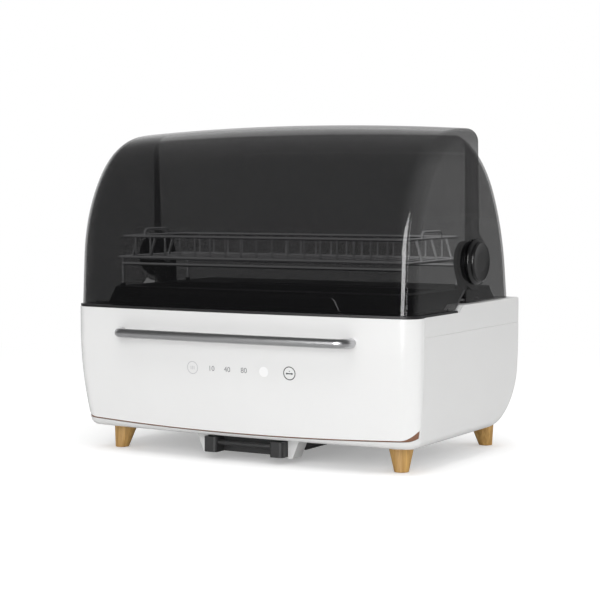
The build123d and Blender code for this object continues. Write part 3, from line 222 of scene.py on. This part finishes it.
def moulded(name, colour, gloss, grain=900.0, patch=0.05, relief=0.15, coat=0.0):
    material, tree, shader = startMaterial(name)
    group = addGroup(tree, shader, mouldedGroup, {"Colour": (*colour, 1), "Gloss": gloss,
                                                  "Grain Size": grain, "Patchiness": patch})
    fillSockets(tree, shader, {"Coat Weight": coat, "Coat Roughness": mouldedSetup["coatGloss"]})
    addRelief(tree, shader, group.outputs["Height"], relief, mouldedSetup["depth"])
    return material


def brushed(name, dark, light, gloss, stretch, relief=0.1):
    material, tree, shader = startMaterial(name)
    group = addGroup(tree, shader, brushGroup, {"Stretch": stretch, "Dark": (*dark, 1),
                                                "Light": (*light, 1), "Gloss": gloss})
    fillSockets(tree, shader, {"Metallic": 1.0})
    addRelief(tree, shader, group.outputs["Height"], relief, brushSetup["depth"])
    return material


smokedSetup = {"grain": 60.0, "patch": 0.04, "specular": 0.6, "coat": 0.35, "coatGloss": 0.03}


def smokedPlastic(name, colour, cover, gloss):
    # Tinted clear sheet: part of the light goes straight through each face.
    material, tree, shader = startMaterial(name)
    addGroup(tree, shader, mouldedGroup,
             {"Colour": (*colour, 1), "Gloss": gloss, "Grain Size": smokedSetup["grain"],
              "Patchiness": smokedSetup["patch"]})
    fillSockets(tree, shader,
                {"Alpha": cover, "Specular IOR Level": smokedSetup["specular"],
                 "Coat Weight": smokedSetup["coat"], "Coat Roughness": smokedSetup["coatGloss"]})
    return material


woodSetup = {"stretch": (260.0, 260.0, 22.0), "detail": 5, "distortion": 0.6, "darkStop": 0.32,
             "lightStop": 0.68, "gloss": 0.5, "relief": 0.25, "depth": 0.0002}


def woodGrain(name, light, dark):
    material, tree, shader = startMaterial(name)
    drawn = addNode(tree, "ShaderNodeMapping", {"Vector": surfaceOutputs(tree)["Object"],
                                                "Scale": woodSetup["stretch"]})
    rings = addNoise(tree, drawn.outputs[0], 1.0, woodSetup["detail"], woodSetup["distortion"])
    tone = addRamp(tree, rings, (woodSetup["darkStop"], dark), (woodSetup["lightStop"], light))
    fillSockets(tree, shader, {"Base Color": tone, "Roughness": woodSetup["gloss"]})
    addRelief(tree, shader, rings, woodSetup["relief"], woodSetup["depth"])
    return material


# The shaded and the lit stop are each a place on the ramp and a colour; with the glow they paint
# light and shade on the wires.
wireSetup = {"gloss": 0.14, "stretch": (300.0, 300.0, 300.0), "relief": 0.02,
             "paintedLightFrom": (0.1, -0.5, 0.86), "paintedShade": (0.1, (0.03, 0.03, 0.03)),
             "paintedLit": (0.7, (0.75, 0.75, 0.76)), "glow": 0.8}


def wireWithPaintedLight(name, dark, light):
    # Polished wire with painted light: a glow of its own makes the sides turned up and to the
    # front look lit, a painted highlight, and the rest stays dark as painted shade.
    material = brushed(name, dark, light, wireSetup["gloss"], wireSetup["stretch"],
                       wireSetup["relief"])
    tree = material.node_tree
    # Painted light: the emission grows as the surface turns towards one fixed direction, not
    # because a lamp lights it.
    lean = addNode(tree, "ShaderNodeVectorMath",
                   {0: surfaceOutputs(tree)["Normal"], 1: wireSetup["paintedLightFrom"]},
                   operation="DOT_PRODUCT")
    tone = addRamp(tree, lean.outputs["Value"], wireSetup["paintedShade"], wireSetup["paintedLit"])
    fillSockets(tree, tree.nodes["Principled BSDF"],
                {"Emission Color": tone, "Emission Strength": wireSetup["glow"]})
    return material


hoodSetup = {"frontCover": 0.695, "sideCoverPaintedPale": 0.53, "sideSpan": (0.208, 0.224),
             "crownSpan": (0.35, 0.385), "gripHighlightLow": 0.186, "gripHighlightTop": 0.2035,
             "gripHighlightLean": (0.2, 0.5), "gripHighlightCover": 0.95, "gripHighlightColour": (0.16, 0.16, 0.165, 1)}


def smokedHoodWithPaintedLight(name, colour, gloss, setup):
    # Smoked plastic with painted light: denser in front than at the sides, so the sides read paler
    # as a painted sheen, and with a paler strip on the grip's moulded edge as a painted highlight.
    material = smokedPlastic(name, colour, setup["frontCover"], gloss)
    tree = material.node_tree
    surface = surfaceOutputs(tree)
    spot = splitVector(tree, surface["Object"])
    lean = splitVector(tree, surface["Normal"])
    # Painted sheen: the side walls are made clearer than the front so they read paler, as if
    # catching light; the crown goes back to the front's cover.
    side = addRange(tree, addMath(tree, "ABSOLUTE", spot["X"]), setup["sideSpan"],
                    (setup["frontCover"], setup["sideCoverPaintedPale"]))
    crown = addRange(tree, spot["Z"], setup["crownSpan"])
    cover = addMix(tree, crown, side, setup["frontCover"])
    # Painted highlight: the up-facing faces in the grip's band are made paler grey and nearly
    # opaque, standing in for the light they catch.
    above = addMath(tree, "GREATER_THAN", spot["Z"], setup["gripHighlightLow"])
    below = addMath(tree, "LESS_THAN", spot["Z"], setup["gripHighlightTop"])
    within = addMath(tree, "MULTIPLY", above, below)
    gripHighlight = addMath(tree, "MULTIPLY", within, addRange(tree, lean["Z"], setup["gripHighlightLean"]))
    tint = tree.nodes["Group"].outputs["Colour"]
    fillSockets(tree, tree.nodes["Principled BSDF"],
                {"Alpha": addMix(tree, gripHighlight, cover, setup["gripHighlightCover"]),
                 "Base Color": addMix(tree, gripHighlight, tint, setup["gripHighlightColour"], "RGBA")})
    return material


finishes = {
    "panel_white": moulded("glossyWhite", (0.87, 0.87, 0.865), 0.2,
                           grain=140, patch=0.03, relief=0.03, coat=0.6),
    "body_white": moulded("satinWhite", (0.78, 0.78, 0.775), 0.32,
                          grain=1400, patch=0.04, relief=0.08, coat=0.2),
    "black_plastic": moulded("satinBlack", (0.016, 0.016, 0.017), 0.36,
                             grain=1800, patch=0.08, relief=0.25),
    "dark_hub": moulded("hubBlack", (0.009, 0.009, 0.0095), 0.24,
                        grain=1200, patch=0.06, relief=0.06, coat=0.15),
    "smoked": smokedHoodWithPaintedLight("smokedHood", (0.004, 0.004, 0.0045), 0.05, hoodSetup),
    "wood": woodGrain("lightWood", (0.66, 0.40, 0.13), (0.44, 0.24, 0.065)),
    "steel": brushed("brushedSteel", (0.46, 0.46, 0.47), (0.66, 0.66, 0.67), 0.24,
                     (30.0, 2600.0, 2600.0)),
    "wire": wireWithPaintedLight("wirePaintedLight", (0.62, 0.62, 0.63), (0.78, 0.78, 0.79)),
    "zinc": brushed("zincPlate", (0.42, 0.42, 0.43), (0.6, 0.6, 0.62), 0.35,
                    (600.0, 600.0, 600.0)),
    "copper_line": moulded("copperBrown", (0.25, 0.12, 0.07), 0.38),
    "grey_rubber": moulded("darkRubber", (0.03, 0.03, 0.03), 0.7,
                           grain=2200, patch=0.1, relief=0.3),
    "tray_grey": moulded("paleGrey", (0.62, 0.62, 0.61), 0.42, grain=1500, relief=0.12),
    "board_green": moulded("boardGreen", (0.02, 0.12, 0.06), 0.35, grain=700, patch=0.1),
    "dark_motor": moulded("fanBlack", (0.02, 0.02, 0.022), 0.4,
                          grain=1600, patch=0.08, relief=0.2),
    "alloy": brushed("plainAlloy", (0.5, 0.5, 0.51), (0.68, 0.68, 0.69), 0.35,
                     (900.0, 900.0, 60.0)),
    "lamp_glass": smokedPlastic("lampGlass", (0.55, 0.57, 0.66), 0.4, 0.05),
    "ceramic": moulded("ivoryCeramic", (0.7, 0.68, 0.63), 0.45, grain=1200, patch=0.06),
    "hose_rubber": moulded("greyHose", (0.3, 0.3, 0.29), 0.5, grain=1500, patch=0.08),
}
coverFinish = smokedPlastic("smokedCover", (0.006, 0.006, 0.0065), 0.5, 0.06)
trayFinish = moulded("trayBlack", (0.034, 0.034, 0.035), 0.34, grain=1500, patch=0.08, relief=0.2)
print("materials ready:", len(finishes) + 2)

# Fine copies of the nodes that show, with smooth normals.
fineSetup = {"merge": 0.000002, "angle": 30.0}


def dressPiece(piece, material, node):
    piece.data.materials.clear()
    piece.data.materials.append(material)
    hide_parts(node)
    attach(piece, bodyOfNode[node])


def plainMesh(piece):
    # The evaluated shape of a piece, as a mesh of its own.
    bpy.context.view_layer.update()
    seen = piece.evaluated_get(bpy.context.evaluated_depsgraph_get())
    return bpy.data.meshes.new_from_object(seen)


def finishMesh(work, name):
    # The faces are turned outwards, then the mesh is written.
    bmesh.ops.recalc_face_normals(work, faces=work.faces)
    mesh = bpy.data.meshes.new(name)
    work.to_mesh(mesh)
    work.free()
    return mesh


def smoothFaces(mesh, sharpAngle=None):
    mesh.polygons.foreach_set("use_smooth", [True] * len(mesh.polygons))
    if sharpAngle:
        mesh.set_sharp_from_angle(angle=math.radians(sharpAngle))


def evenNormals(mesh, limit):
    # Each corner takes the mean of the faces that lean alike, weighed by their size, so large
    # flat faces stay flat beside small ones.
    limitCos = math.cos(math.radians(limit))
    facesAt = [[] for vertex in mesh.vertices]
    leans, sizes = [], []
    for face in mesh.polygons:
        leans.append(face.normal.copy())
        sizes.append(face.area)
        for vertex in face.vertices:
            facesAt[vertex].append(face.index)
    cornerNormals = []
    for face in mesh.polygons:
        lean = leans[face.index]
        for vertex in face.vertices:
            total = Vector()
            for other in facesAt[vertex]:
                if leans[other].dot(lean) > limitCos:
                    total += leans[other] * sizes[other]
            cornerNormals.append(total.normalized() if total.length else lean)
    mesh.normals_split_custom_set(cornerNormals)


def finePiece(node, name, material):
    mesh = nodes[node].data.copy()
    mesh.name = name
    work = bmesh.new()
    work.from_mesh(mesh)
    bmesh.ops.remove_doubles(work, verts=work.verts, dist=fineSetup["merge"])
    work.to_mesh(mesh)
    work.free()
    smoothFaces(mesh)
    evenNormals(mesh, fineSetup["angle"])
    dressPiece(newPiece(name, mesh), material, node)


# Each fine copy's name, and the finish where it isn't the one of its slot.
smoothNodes = {
    "drawer_front": ("bowedPanel", None),
    "lower_body": ("baseShell", None),
    "collar": ("collarRing", None),
    "deck": ("blackDeck", None),
    "tray_housing": ("trayGuides", trayFinish),
    "drip_tray": ("dripTray", trayFinish),
    "basin_pan": ("basinPan", None),
    "hood_shell": ("frontHood", None),
    "cover_shell": ("rearCover", coverFinish),
    "hinge_post_left": ("hingePostLeft", None),
    "hinge_post_right": ("hingePostRight", None),
    "hub_spacers": ("hubSpacers", None),
    "handle": ("barHandle", None),
    "deck_apron": ("deckApron", None),
    "foot_front_left": ("footFrontLeft", None),
    "foot_front_right": ("footFrontRight", None),
    "foot_rear_left": ("footRearLeft", None),
    "foot_rear_right": ("footRearRight", None),
    "drawer_box": ("drawerBox", None),
    "uv_lamp": ("lampTube", None),
    "drain_hose": ("drainHose", None),
}
for node, (name, own) in smoothNodes.items():
    finePiece(node, name, own or finishes[slotOfNode[node]])
print("fine copies:", len(smoothNodes))

# The wire rack, swept by a node tree along plain wire lines. Half, lean and rim are its half
# width at the floor, how far its sides lean in, and the height of its upper ring.
rackSetup = {"half": 0.204, "front": -0.08475, "rear": 0.05925, "lean": 0.008, "floor": 0.238,
             "rim": 0.264, "rail": 0.230, "loop": 0.272, "loopFront": -0.03675,
             "loopRear": 0.01325, "legLow": 0.203, "postStep": 0.04, "wire": 0.0019,
             "divider": 0.0014, "bend": 0.005, "bendSteps": 4, "sides": 12, "pitch": 0.022,
             "count": 17, "sharp": 50}


def alongX(tree, value):
    return addNode(tree, "ShaderNodeCombineXYZ", {"X": value}).outputs[0]


def makeWireTree(setup):
    tree, entry, leave = startGroup(
        "wireSweep", "GeometryNodeTree",
        {"Geometry": ("Geometry", None), "Wire Radius": ("Float", setup["wire"]),
         "Divider Radius": ("Float", setup["divider"]), "Bend Radius": ("Float", setup["bend"]),
         "Divider Count": ("Int", setup["count"]), "Divider Pitch": ("Float", setup["pitch"]),
         "Material": ("Material", None)}, {"Geometry": "Geometry"})
    tree.is_modifier = True
    marked = addNode(tree, "GeometryNodeInputNamedAttribute", {"Name": "isDivider"},
                     data_type="BOOLEAN")
    parted = addNode(tree, "GeometryNodeSeparateGeometry",
                     {"Geometry": entry["Geometry"], "Selection": marked.outputs["Attribute"]},
                     domain="EDGE")
    swept = {}
    for lines, radius in (("Inverted", "Wire Radius"), ("Selection", "Divider Radius")):
        curve = addNode(tree, "GeometryNodeMeshToCurve", {"Mesh": parted.outputs[lines]})
        bend = addNode(tree, "GeometryNodeFilletCurve",
                       {"Curve": curve.outputs["Curve"], "Radius": entry["Bend Radius"],
                        "Count": setup["bendSteps"], "Limit Radius": True}, mode="POLY")
        section = addNode(tree, "GeometryNodeCurvePrimitiveCircle",
                          {"Resolution": setup["sides"], "Radius": entry[radius]})
        tube = addNode(tree, "GeometryNodeCurveToMesh",
                       {"Curve": bend.outputs["Curve"], "Profile Curve": section.outputs["Curve"],
                        "Fill Caps": True})
        swept[radius] = tube.outputs["Mesh"]
    # The dividers stand in a row about the middle.
    less = addMath(tree, "SUBTRACT", entry["Divider Count"], 1.0)
    span = addMath(tree, "MULTIPLY", less, entry["Divider Pitch"])
    first = addMath(tree, "MULTIPLY", span, -0.5)
    row = addNode(tree, "GeometryNodeMeshLine",
                  {"Count": entry["Divider Count"], "Start Location": alongX(tree, first),
                   "Offset": alongX(tree, entry["Divider Pitch"])}, mode="OFFSET")
    spread = addNode(tree, "GeometryNodeInstanceOnPoints",
                     {"Points": row.outputs["Mesh"], "Instance": swept["Divider Radius"]})
    joined = addNode(tree, "GeometryNodeJoinGeometry", {"Geometry": swept["Wire Radius"]})
    fillSockets(tree, joined, {"Geometry": spread.outputs["Instances"]})
    real = addNode(tree, "GeometryNodeRealizeInstances",
                   {"Geometry": joined.outputs["Geometry"]})
    dressed = addNode(tree, "GeometryNodeSetMaterial",
                      {"Geometry": real.outputs["Geometry"], "Material": entry["Material"]})
    fillSockets(tree, leave, {"Geometry": dressed.outputs["Geometry"]})
    return tree


def setInputs(modifier, tree, values):
    for item in tree.interface.items_tree:
        if item.item_type == "SOCKET" and item.in_out == "INPUT" and item.name in values:
            modifier[item.identifier] = values[item.name]


def rackLines(setup):
    # Wire lines as (points, closed, divider); the divider is drawn once, in the middle.
    half, top = setup["half"], setup["half"] - setup["lean"]
    front, rear, floor, rim = setup["front"], setup["rear"], setup["floor"], setup["rim"]
    middle, step = (front + rear) / 2, setup["postStep"]
    loopFront, loopRear, loop = setup["loopFront"], setup["loopRear"], setup["loop"]
    lines = []
    for reach, z in ((half, floor), (top, rim)):
        lines.append(([(reach, front, z), (reach, rear, z), (-reach, rear, z),
                       (-reach, front, z)], True, False))
    for side in (-1, 1):
        for y in (middle - step, middle, middle + step):
            lines.append(([(side * half, y, floor), (side * top, y, rim)], False, False))
        lines.append(([(side * top, loopFront, rim), (side * top, loopFront, loop),
                       (side * top, loopRear, loop), (side * top, loopRear, rim)], False, False))
        for y in (front, rear):
            lines.append(([(side * top, y, setup["legLow"]), (side * top, y, floor)],
                          False, False))
    for y in (front, rear):
        lines.append(([(-top, y, setup["rail"]), (top, y, setup["rail"])], False, False))
    lines.append(([(0, front, rim), (0, front, floor), (0, rear, floor), (0, rear, rim)],
                  False, True))
    return lines


def makeRack(setup):
    points, edges, marks = [], [], []
    for line, closed, divider in rackLines(setup):
        base = len(points)
        points += line
        for step in range(len(line) if closed else len(line) - 1):
            edges.append((base + step, base + (step + 1) % len(line)))
            marks.append(divider)
    mesh = bpy.data.meshes.new("wireRack")
    mesh.from_pydata(points, edges, [])
    mesh.attributes.new("isDivider", "BOOLEAN", "EDGE").data.foreach_set("value", marks)
    rack = newPiece("wireRack", mesh)
    tree = makeWireTree(setup)
    sweep = rack.modifiers.new("wireSweep", "NODES")
    sweep.node_group = tree
    setInputs(sweep, tree, {"Wire Radius": setup["wire"], "Divider Radius": setup["divider"],
                            "Bend Radius": setup["bend"], "Divider Count": setup["count"],
                            "Divider Pitch": setup["pitch"], "Material": finishes["wire"]})
    swept = plainMesh(rack)
    rack.modifiers.clear()
    rack.data = swept
    smoothFaces(swept, setup["sharp"])
    dressPiece(rack, finishes["wire"], "dish_rack")
    print("wire rack:", len(swept.polygons), "faces")


makeRack(rackSetup)

# The two hub caps, turned on a lathe: a broad flange and a raised face with a fine rim.
# The profile's points are distances from the middle of the machine and radii.
hubSetup = {"axis": (0.03425, 0.236), "turns": 72, "sharp": 38, "profile": (
    (0.2373, 0.0), (0.2373, 0.0052), (0.2322, 0.0052), (0.2322, 0.0103), (0.2312, 0.0103),
    (0.2312, 0.0258), (0.2315, 0.0266), (0.2321, 0.0270), (0.2336, 0.0270), (0.2344, 0.0266),
    (0.2350, 0.0256), (0.2353, 0.0244), (0.2358, 0.0239), (0.2384, 0.0239), (0.2392, 0.0237),
    (0.2398, 0.0231), (0.2400, 0.0224), (0.2399, 0.0217), (0.2395, 0.0213), (0.2393, 0.0208),
    (0.2392, 0.0100), (0.2392, 0.0))}


def roundPoint(middle, radius, step, count):
    turn = 2 * math.pi * step / count
    return middle[0] + radius * math.cos(turn), middle[1] + radius * math.sin(turn)


def makeHubCap(side, name, node, setup):
    work = bmesh.new()
    count = setup["turns"]
    rings = []
    for x, radius in setup["profile"]:
        steps = count if radius else 1  # the profile's ends are single points on the axis
        rings.append([work.verts.new((side * x, *roundPoint(setup["axis"], radius, step, count)))
                      for step in range(steps)])
    for near, far in zip(rings, rings[1:]):
        for step in range(count):
            follow = (step + 1) % count
            corners = [near[step % len(near)], near[follow % len(near)],
                       far[follow % len(far)], far[step % len(far)]]
            work.faces.new(list(dict.fromkeys(corners)))
    mesh = finishMesh(work, name)
    smoothFaces(mesh, setup["sharp"])
    dressPiece(newPiece(name, mesh), finishes["dark_hub"], node)


makeHubCap(-1, "hubCapLeft", "hub_cap_left", hubSetup)
makeHubCap(1, "hubCapRight", "hub_cap_right", hubSetup)
remade = ("dish_rack", "hub_cap_left", "hub_cap_right")
for node, piece in nodes.items():
    if node not in smoothNodes and node not in remade:
        piece.data.materials.clear()
        piece.data.materials.append(finishes[slotOfNode[node]])
print("nodes dressed")

# Printed marks on the control panel.
panelMesh = nodes["drawer_front"].data
panelTree = BVHTree.FromPolygons([tuple(v.co) for v in panelMesh.vertices],
                                 [tuple(f.vertices) for f in panelMesh.polygons])
markSetup = {"height": 0.1117, "inFront": -0.5, "lift": 0.00006, "thick": 0.00012, "gloss": 0.45,
             "digits": {"10": -0.028, "40": -0.006, "80": 0.017}, "digitHeight": 0.0062,
             "paleX": -0.055, "paleRing": (0.0068, 0.0077), "paleBar": (0.0009, 0.0042),
             "paleStep": 0.0022, "darkX": 0.078, "darkRing": (0.0069, 0.0080),
             "darkBar": (0.0064, 0.0012), "barDrop": 0.0004, "barEnds": (0.0747, 0.0813),
             "endRadius": 0.0011, "dotRise": 0.0024, "dotRadius": 0.0006,
             "paintedGlowX": 0.044, "paintedGlowRadius": 0.0060}
fontSetup = {"capHeight": 0.7, "curveSteps": 4}  # digits are 0.7 of the font's size high


def plainFinish(name, colour, gloss, glow=0.0):
    material, tree, shader = startMaterial(name)
    fillSockets(tree, shader, {"Base Color": (*colour, 1), "Roughness": gloss})
    if glow:
        fillSockets(tree, shader, {"Emission Color": white, "Emission Strength": glow})
    return material


def ringOutline(middle, inner, outer, count=48):
    points, faces = [], []
    for step in range(count):
        for radius in (inner, outer):
            points.append(roundPoint(middle, radius, step, count))
        follow = (step + 1) % count
        faces.append((2 * step, 2 * step + 1, 2 * follow + 1, 2 * follow))
    return points, faces


def discOutline(middle, radius, rings=3, count=32):
    points, faces = [middle], []
    for ring in range(1, rings + 1):
        for step in range(count):
            points.append(roundPoint(middle, radius * ring / rings, step, count))
    for step in range(count):
        follow = (step + 1) % count
        faces.append((0, 1 + step, 1 + follow))
        for ring in range(rings - 1):
            low, high = 1 + ring * count, 1 + (ring + 1) * count
            faces.append((low + step, high + step, high + follow, low + follow))
    return points, faces


def barOutline(middle, width, height):
    left, right = middle[0] - width / 2, middle[0] + width / 2
    low, high = middle[1] - height / 2, middle[1] + height / 2
    return [(left, low), (right, low), (right, high), (left, high)], [(0, 1, 2, 3)]


def digitOutline(text, middle, height):
    curve = bpy.data.curves.new("digits", "FONT")
    curve.body = text
    curve.align_x = "CENTER"
    curve.align_y = "CENTER"
    curve.size = height / fontSetup["capHeight"]
    curve.resolution_u = fontSetup["curveSteps"]
    holder = newPiece("digits", curve)
    flat = plainMesh(holder)
    points = [(middle[0] + v.co.x, middle[1] + v.co.y) for v in flat.vertices]
    faces = [tuple(f.vertices) for f in flat.polygons]
    bpy.data.objects.remove(holder)
    bpy.data.curves.remove(curve)
    bpy.data.meshes.remove(flat)
    return points, faces


def layOnPanel(name, outlines, material):
    # Flat outlines are laid on the curved panel as thin closed prints.
    work = bmesh.new()
    for points, faces in outlines:
        front, back = [], []
        for x, z in points:
            start = Vector((x, markSetup["inFront"], z))
            hit = panelTree.ray_cast(start, Vector((0, 1, 0)))[0]
            y = hit.y - markSetup["lift"]
            front.append(work.verts.new((x, y, z)))
            back.append(work.verts.new((x, y + markSetup["thick"], z)))
        edges = {}
        for face in faces:
            work.faces.new([front[i] for i in face])
            work.faces.new([back[i] for i in reversed(face)])
            edges.update(dict.fromkeys(zip(face, face[1:] + face[:1])))
        for start, end in edges:
            if (end, start) not in edges:  # an outer edge, closed by a side face
                work.faces.new((front[end], front[start], back[start], back[end]))
    mesh = finishMesh(work, name)
    mesh.materials.append(material)
    piece = newPiece(name, mesh)
    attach(piece, "drawer")


def layMarks(setup):
    z, gloss = setup["height"], setup["gloss"]
    digits = [digitOutline(text, (x, z), setup["digitHeight"])
              for text, x in setup["digits"].items()]
    pale = [ringOutline((setup["paleX"], z), *setup["paleRing"])]
    for step in (-1, 0, 1):
        pale.append(barOutline((setup["paleX"] + setup["paleStep"] * step, z),
                               *setup["paleBar"]))
    low = z - setup["barDrop"]
    dark = [ringOutline((setup["darkX"], z), *setup["darkRing"]),
            barOutline((setup["darkX"], low), *setup["darkBar"])]
    for x in setup["barEnds"]:
        dark.append(discOutline((x, low), setup["endRadius"], rings=1, count=16))
    dark.append(discOutline((setup["darkX"], z + setup["dotRise"]), setup["dotRadius"],
                            rings=1, count=12))
    # The white disc is a print with a faint glow of its own: painted brightness above the panel's
    # white.
    paintedLit = [discOutline((setup["paintedGlowX"], z), setup["paintedGlowRadius"])]
    layOnPanel("markDigits", digits, plainFinish("greyPrint", (0.21, 0.21, 0.22), gloss))
    layOnPanel("markPale", pale, plainFinish("palePrint", (0.56, 0.56, 0.57), gloss))
    layOnPanel("markDark", dark, plainFinish("darkPrint", (0.05, 0.05, 0.055), gloss))
    layOnPanel("markPaintedGlow", paintedLit, plainFinish("printPaintedGlow", (0.92, 0.92, 0.92), 0.3, glow=0.05))


layMarks(markSetup)
print("marks laid on the panel")

# Floor, backdrop and light.
floorSetup = {"reach": 14.0, "gloss": 0.9, "near": (0.8, 0.8, 0.8, 1), "far": (0.0, 0.0, 0.0, 1),
              "mirrored": (0.4, 0.4, 0.4, 1), "fadeSpan": (0.45, 1.5), "glowSpan": (0.3, 1.0)}


def seenDirectly(tree, path):
    # 1 for what the camera sees, also through the smoked plastic.
    return addMath(tree, "MAXIMUM", path["Is Camera Ray"], path["Is Transmission Ray"])


def makeFloor(setup):
    # Far off the base colour is gone and only the glow is left, so it is never over white.
    reach = setup["reach"]
    mesh = bpy.data.meshes.new("floor")
    mesh.from_pydata([(-reach, -reach, 0), (reach, -reach, 0), (reach, reach, 0),
                      (-reach, reach, 0)], [], [(0, 1, 2, 3)])
    floor = newPiece("floor", mesh)
    material, tree, shader = startMaterial("paleFloor")
    away = addNode(tree, "ShaderNodeVectorMath", {0: surfaceOutputs(tree)["Object"]},
                   operation="LENGTH")
    far = addRange(tree, away.outputs["Value"], setup["fadeSpan"],
                   interpolation_type="SMOOTHSTEP")
    path = addNode(tree, "ShaderNodeLightPath").outputs
    fade = addMix(tree, far, setup["near"], setup["far"], "RGBA")
    tone = addMix(tree, path["Is Glossy Ray"], fade, setup["mirrored"], "RGBA")
    glow = addMath(tree, "MULTIPLY", seenDirectly(tree, path),
                   addRange(tree, far, (0.0, 1.0), setup["glowSpan"]))
    fillSockets(tree, shader, {"Base Color": tone, "Roughness": setup["gloss"],
                               "Specular IOR Level": 0.0, "Emission Color": white,
                               "Emission Strength": glow})
    mesh.materials.append(material)


# How bright the room looks in reflections, how much soft light it gives, and where it is
# rear, left and low.
roomSetup = {"front": 0.07, "rear": 0.16, "rearLeft": 0.9, "softLight": 0.62,
             "rearSpan": (-0.2, 0.4), "leftSpan": (-0.2, -0.8), "lowSpan": (0.65, 0.35)}


def makeWorld(setup):
    # White straight on and softly lit for diffuse light; in reflections dark in front and
    # paler behind.
    world = bpy.data.worlds.new("studio")
    world.use_nodes = True
    bpy.context.scene.world = world
    tree = world.node_tree
    path = addNode(tree, "ShaderNodeLightPath").outputs
    way = splitVector(tree, surfaceOutputs(tree)["Generated"])
    rear = addRange(tree, way["Y"], setup["rearSpan"])
    left = addRange(tree, way["X"], setup["leftSpan"])
    low = addRange(tree, way["Z"], setup["lowSpan"])
    corner = addMath(tree, "MULTIPLY", addMath(tree, "MULTIPLY", rear, left), low)
    mirror = addRange(tree, corner, (0.0, 1.0), (setup["front"], setup["rearLeft"]))
    mirror = addMath(tree, "MULTIPLY_ADD", rear, setup["rear"], mirror)
    level = addRange(tree, seenDirectly(tree, path), (0.0, 1.0), (setup["softLight"], 1.0))
    strength = addMix(tree, path["Is Glossy Ray"], level, mirror)
    fillSockets(tree, tree.nodes["Background"], {"Color": white, "Strength": strength})


# Cards stand on an arc round the hood's right front corner; tops are left and right heights.
cardSetup = {"aim": (0.215, -0.11), "away": 2.9, "low": -0.2}
cards = {"cornerCard": {"angles": (-16.5, 14), "tops": (1.6, 2.5), "strength": 9.0},
         "edgeCard": {"angles": (27, 32), "tops": (1.8, 2.2), "strength": 3.5}}
lampSetup = {"aim": (0, 0, 0.15)}
lamps = {"topSoftbox": {"place": (0.1, -0.5, 2.2), "size": 1.8, "power": 23},
         "frontSoftbox": {"place": (1.2, -2.6, 1.0), "size": 1.4, "power": 27},
         "rightSoftbox": {"place": (2.6, 0.9, 1.1), "size": 1.4, "power": 13}}


def addCard(name, setup, angles, tops, strength):
    # A white card that shows in reflections only.
    (left, right), (leftTop, rightTop) = angles, tops
    aim, away, low = setup["aim"], setup["away"], setup["low"]
    corners = []
    for angle, height in ((left, low), (right, low), (right, rightTop), (left, leftTop)):
        turn = math.radians(angle)
        corners.append((aim[0] + away * math.sin(turn), aim[1] - away * math.cos(turn), height))
    mesh = bpy.data.meshes.new(name)
    mesh.from_pydata(corners, [], [(0, 1, 2, 3)])
    card = newPiece(name, mesh)
    material, tree, shader = startMaterial(name)
    fillSockets(tree, shader, {"Base Color": (0, 0, 0, 1), "Emission Color": white,
                               "Emission Strength": strength})
    mesh.materials.append(material)
    card.visible_camera = False
    card.visible_diffuse = False
    card.visible_transmission = False
    card.visible_shadow = False


def addLamp(name, aim, place, size, power):
    data = bpy.data.lights.new(name, "AREA")
    data.shape = "SQUARE"
    data.size = size
    data.energy = power
    lamp = newPiece(name, data)
    lamp.location = place
    lamp.visible_glossy = False
    lamp.rotation_mode = "QUATERNION"
    lamp.rotation_quaternion = (Vector(aim) - Vector(place)).to_track_quat("-Z", "Y")


makeFloor(floorSetup)
makeWorld(roomSetup)
for name, own in lamps.items():
    addLamp(name, lampSetup["aim"], **own)
for name, own in cards.items():
    addCard(name, cardSetup, **own)
bpy.context.scene.view_settings.view_transform = "Standard"
print("stage and light ready")
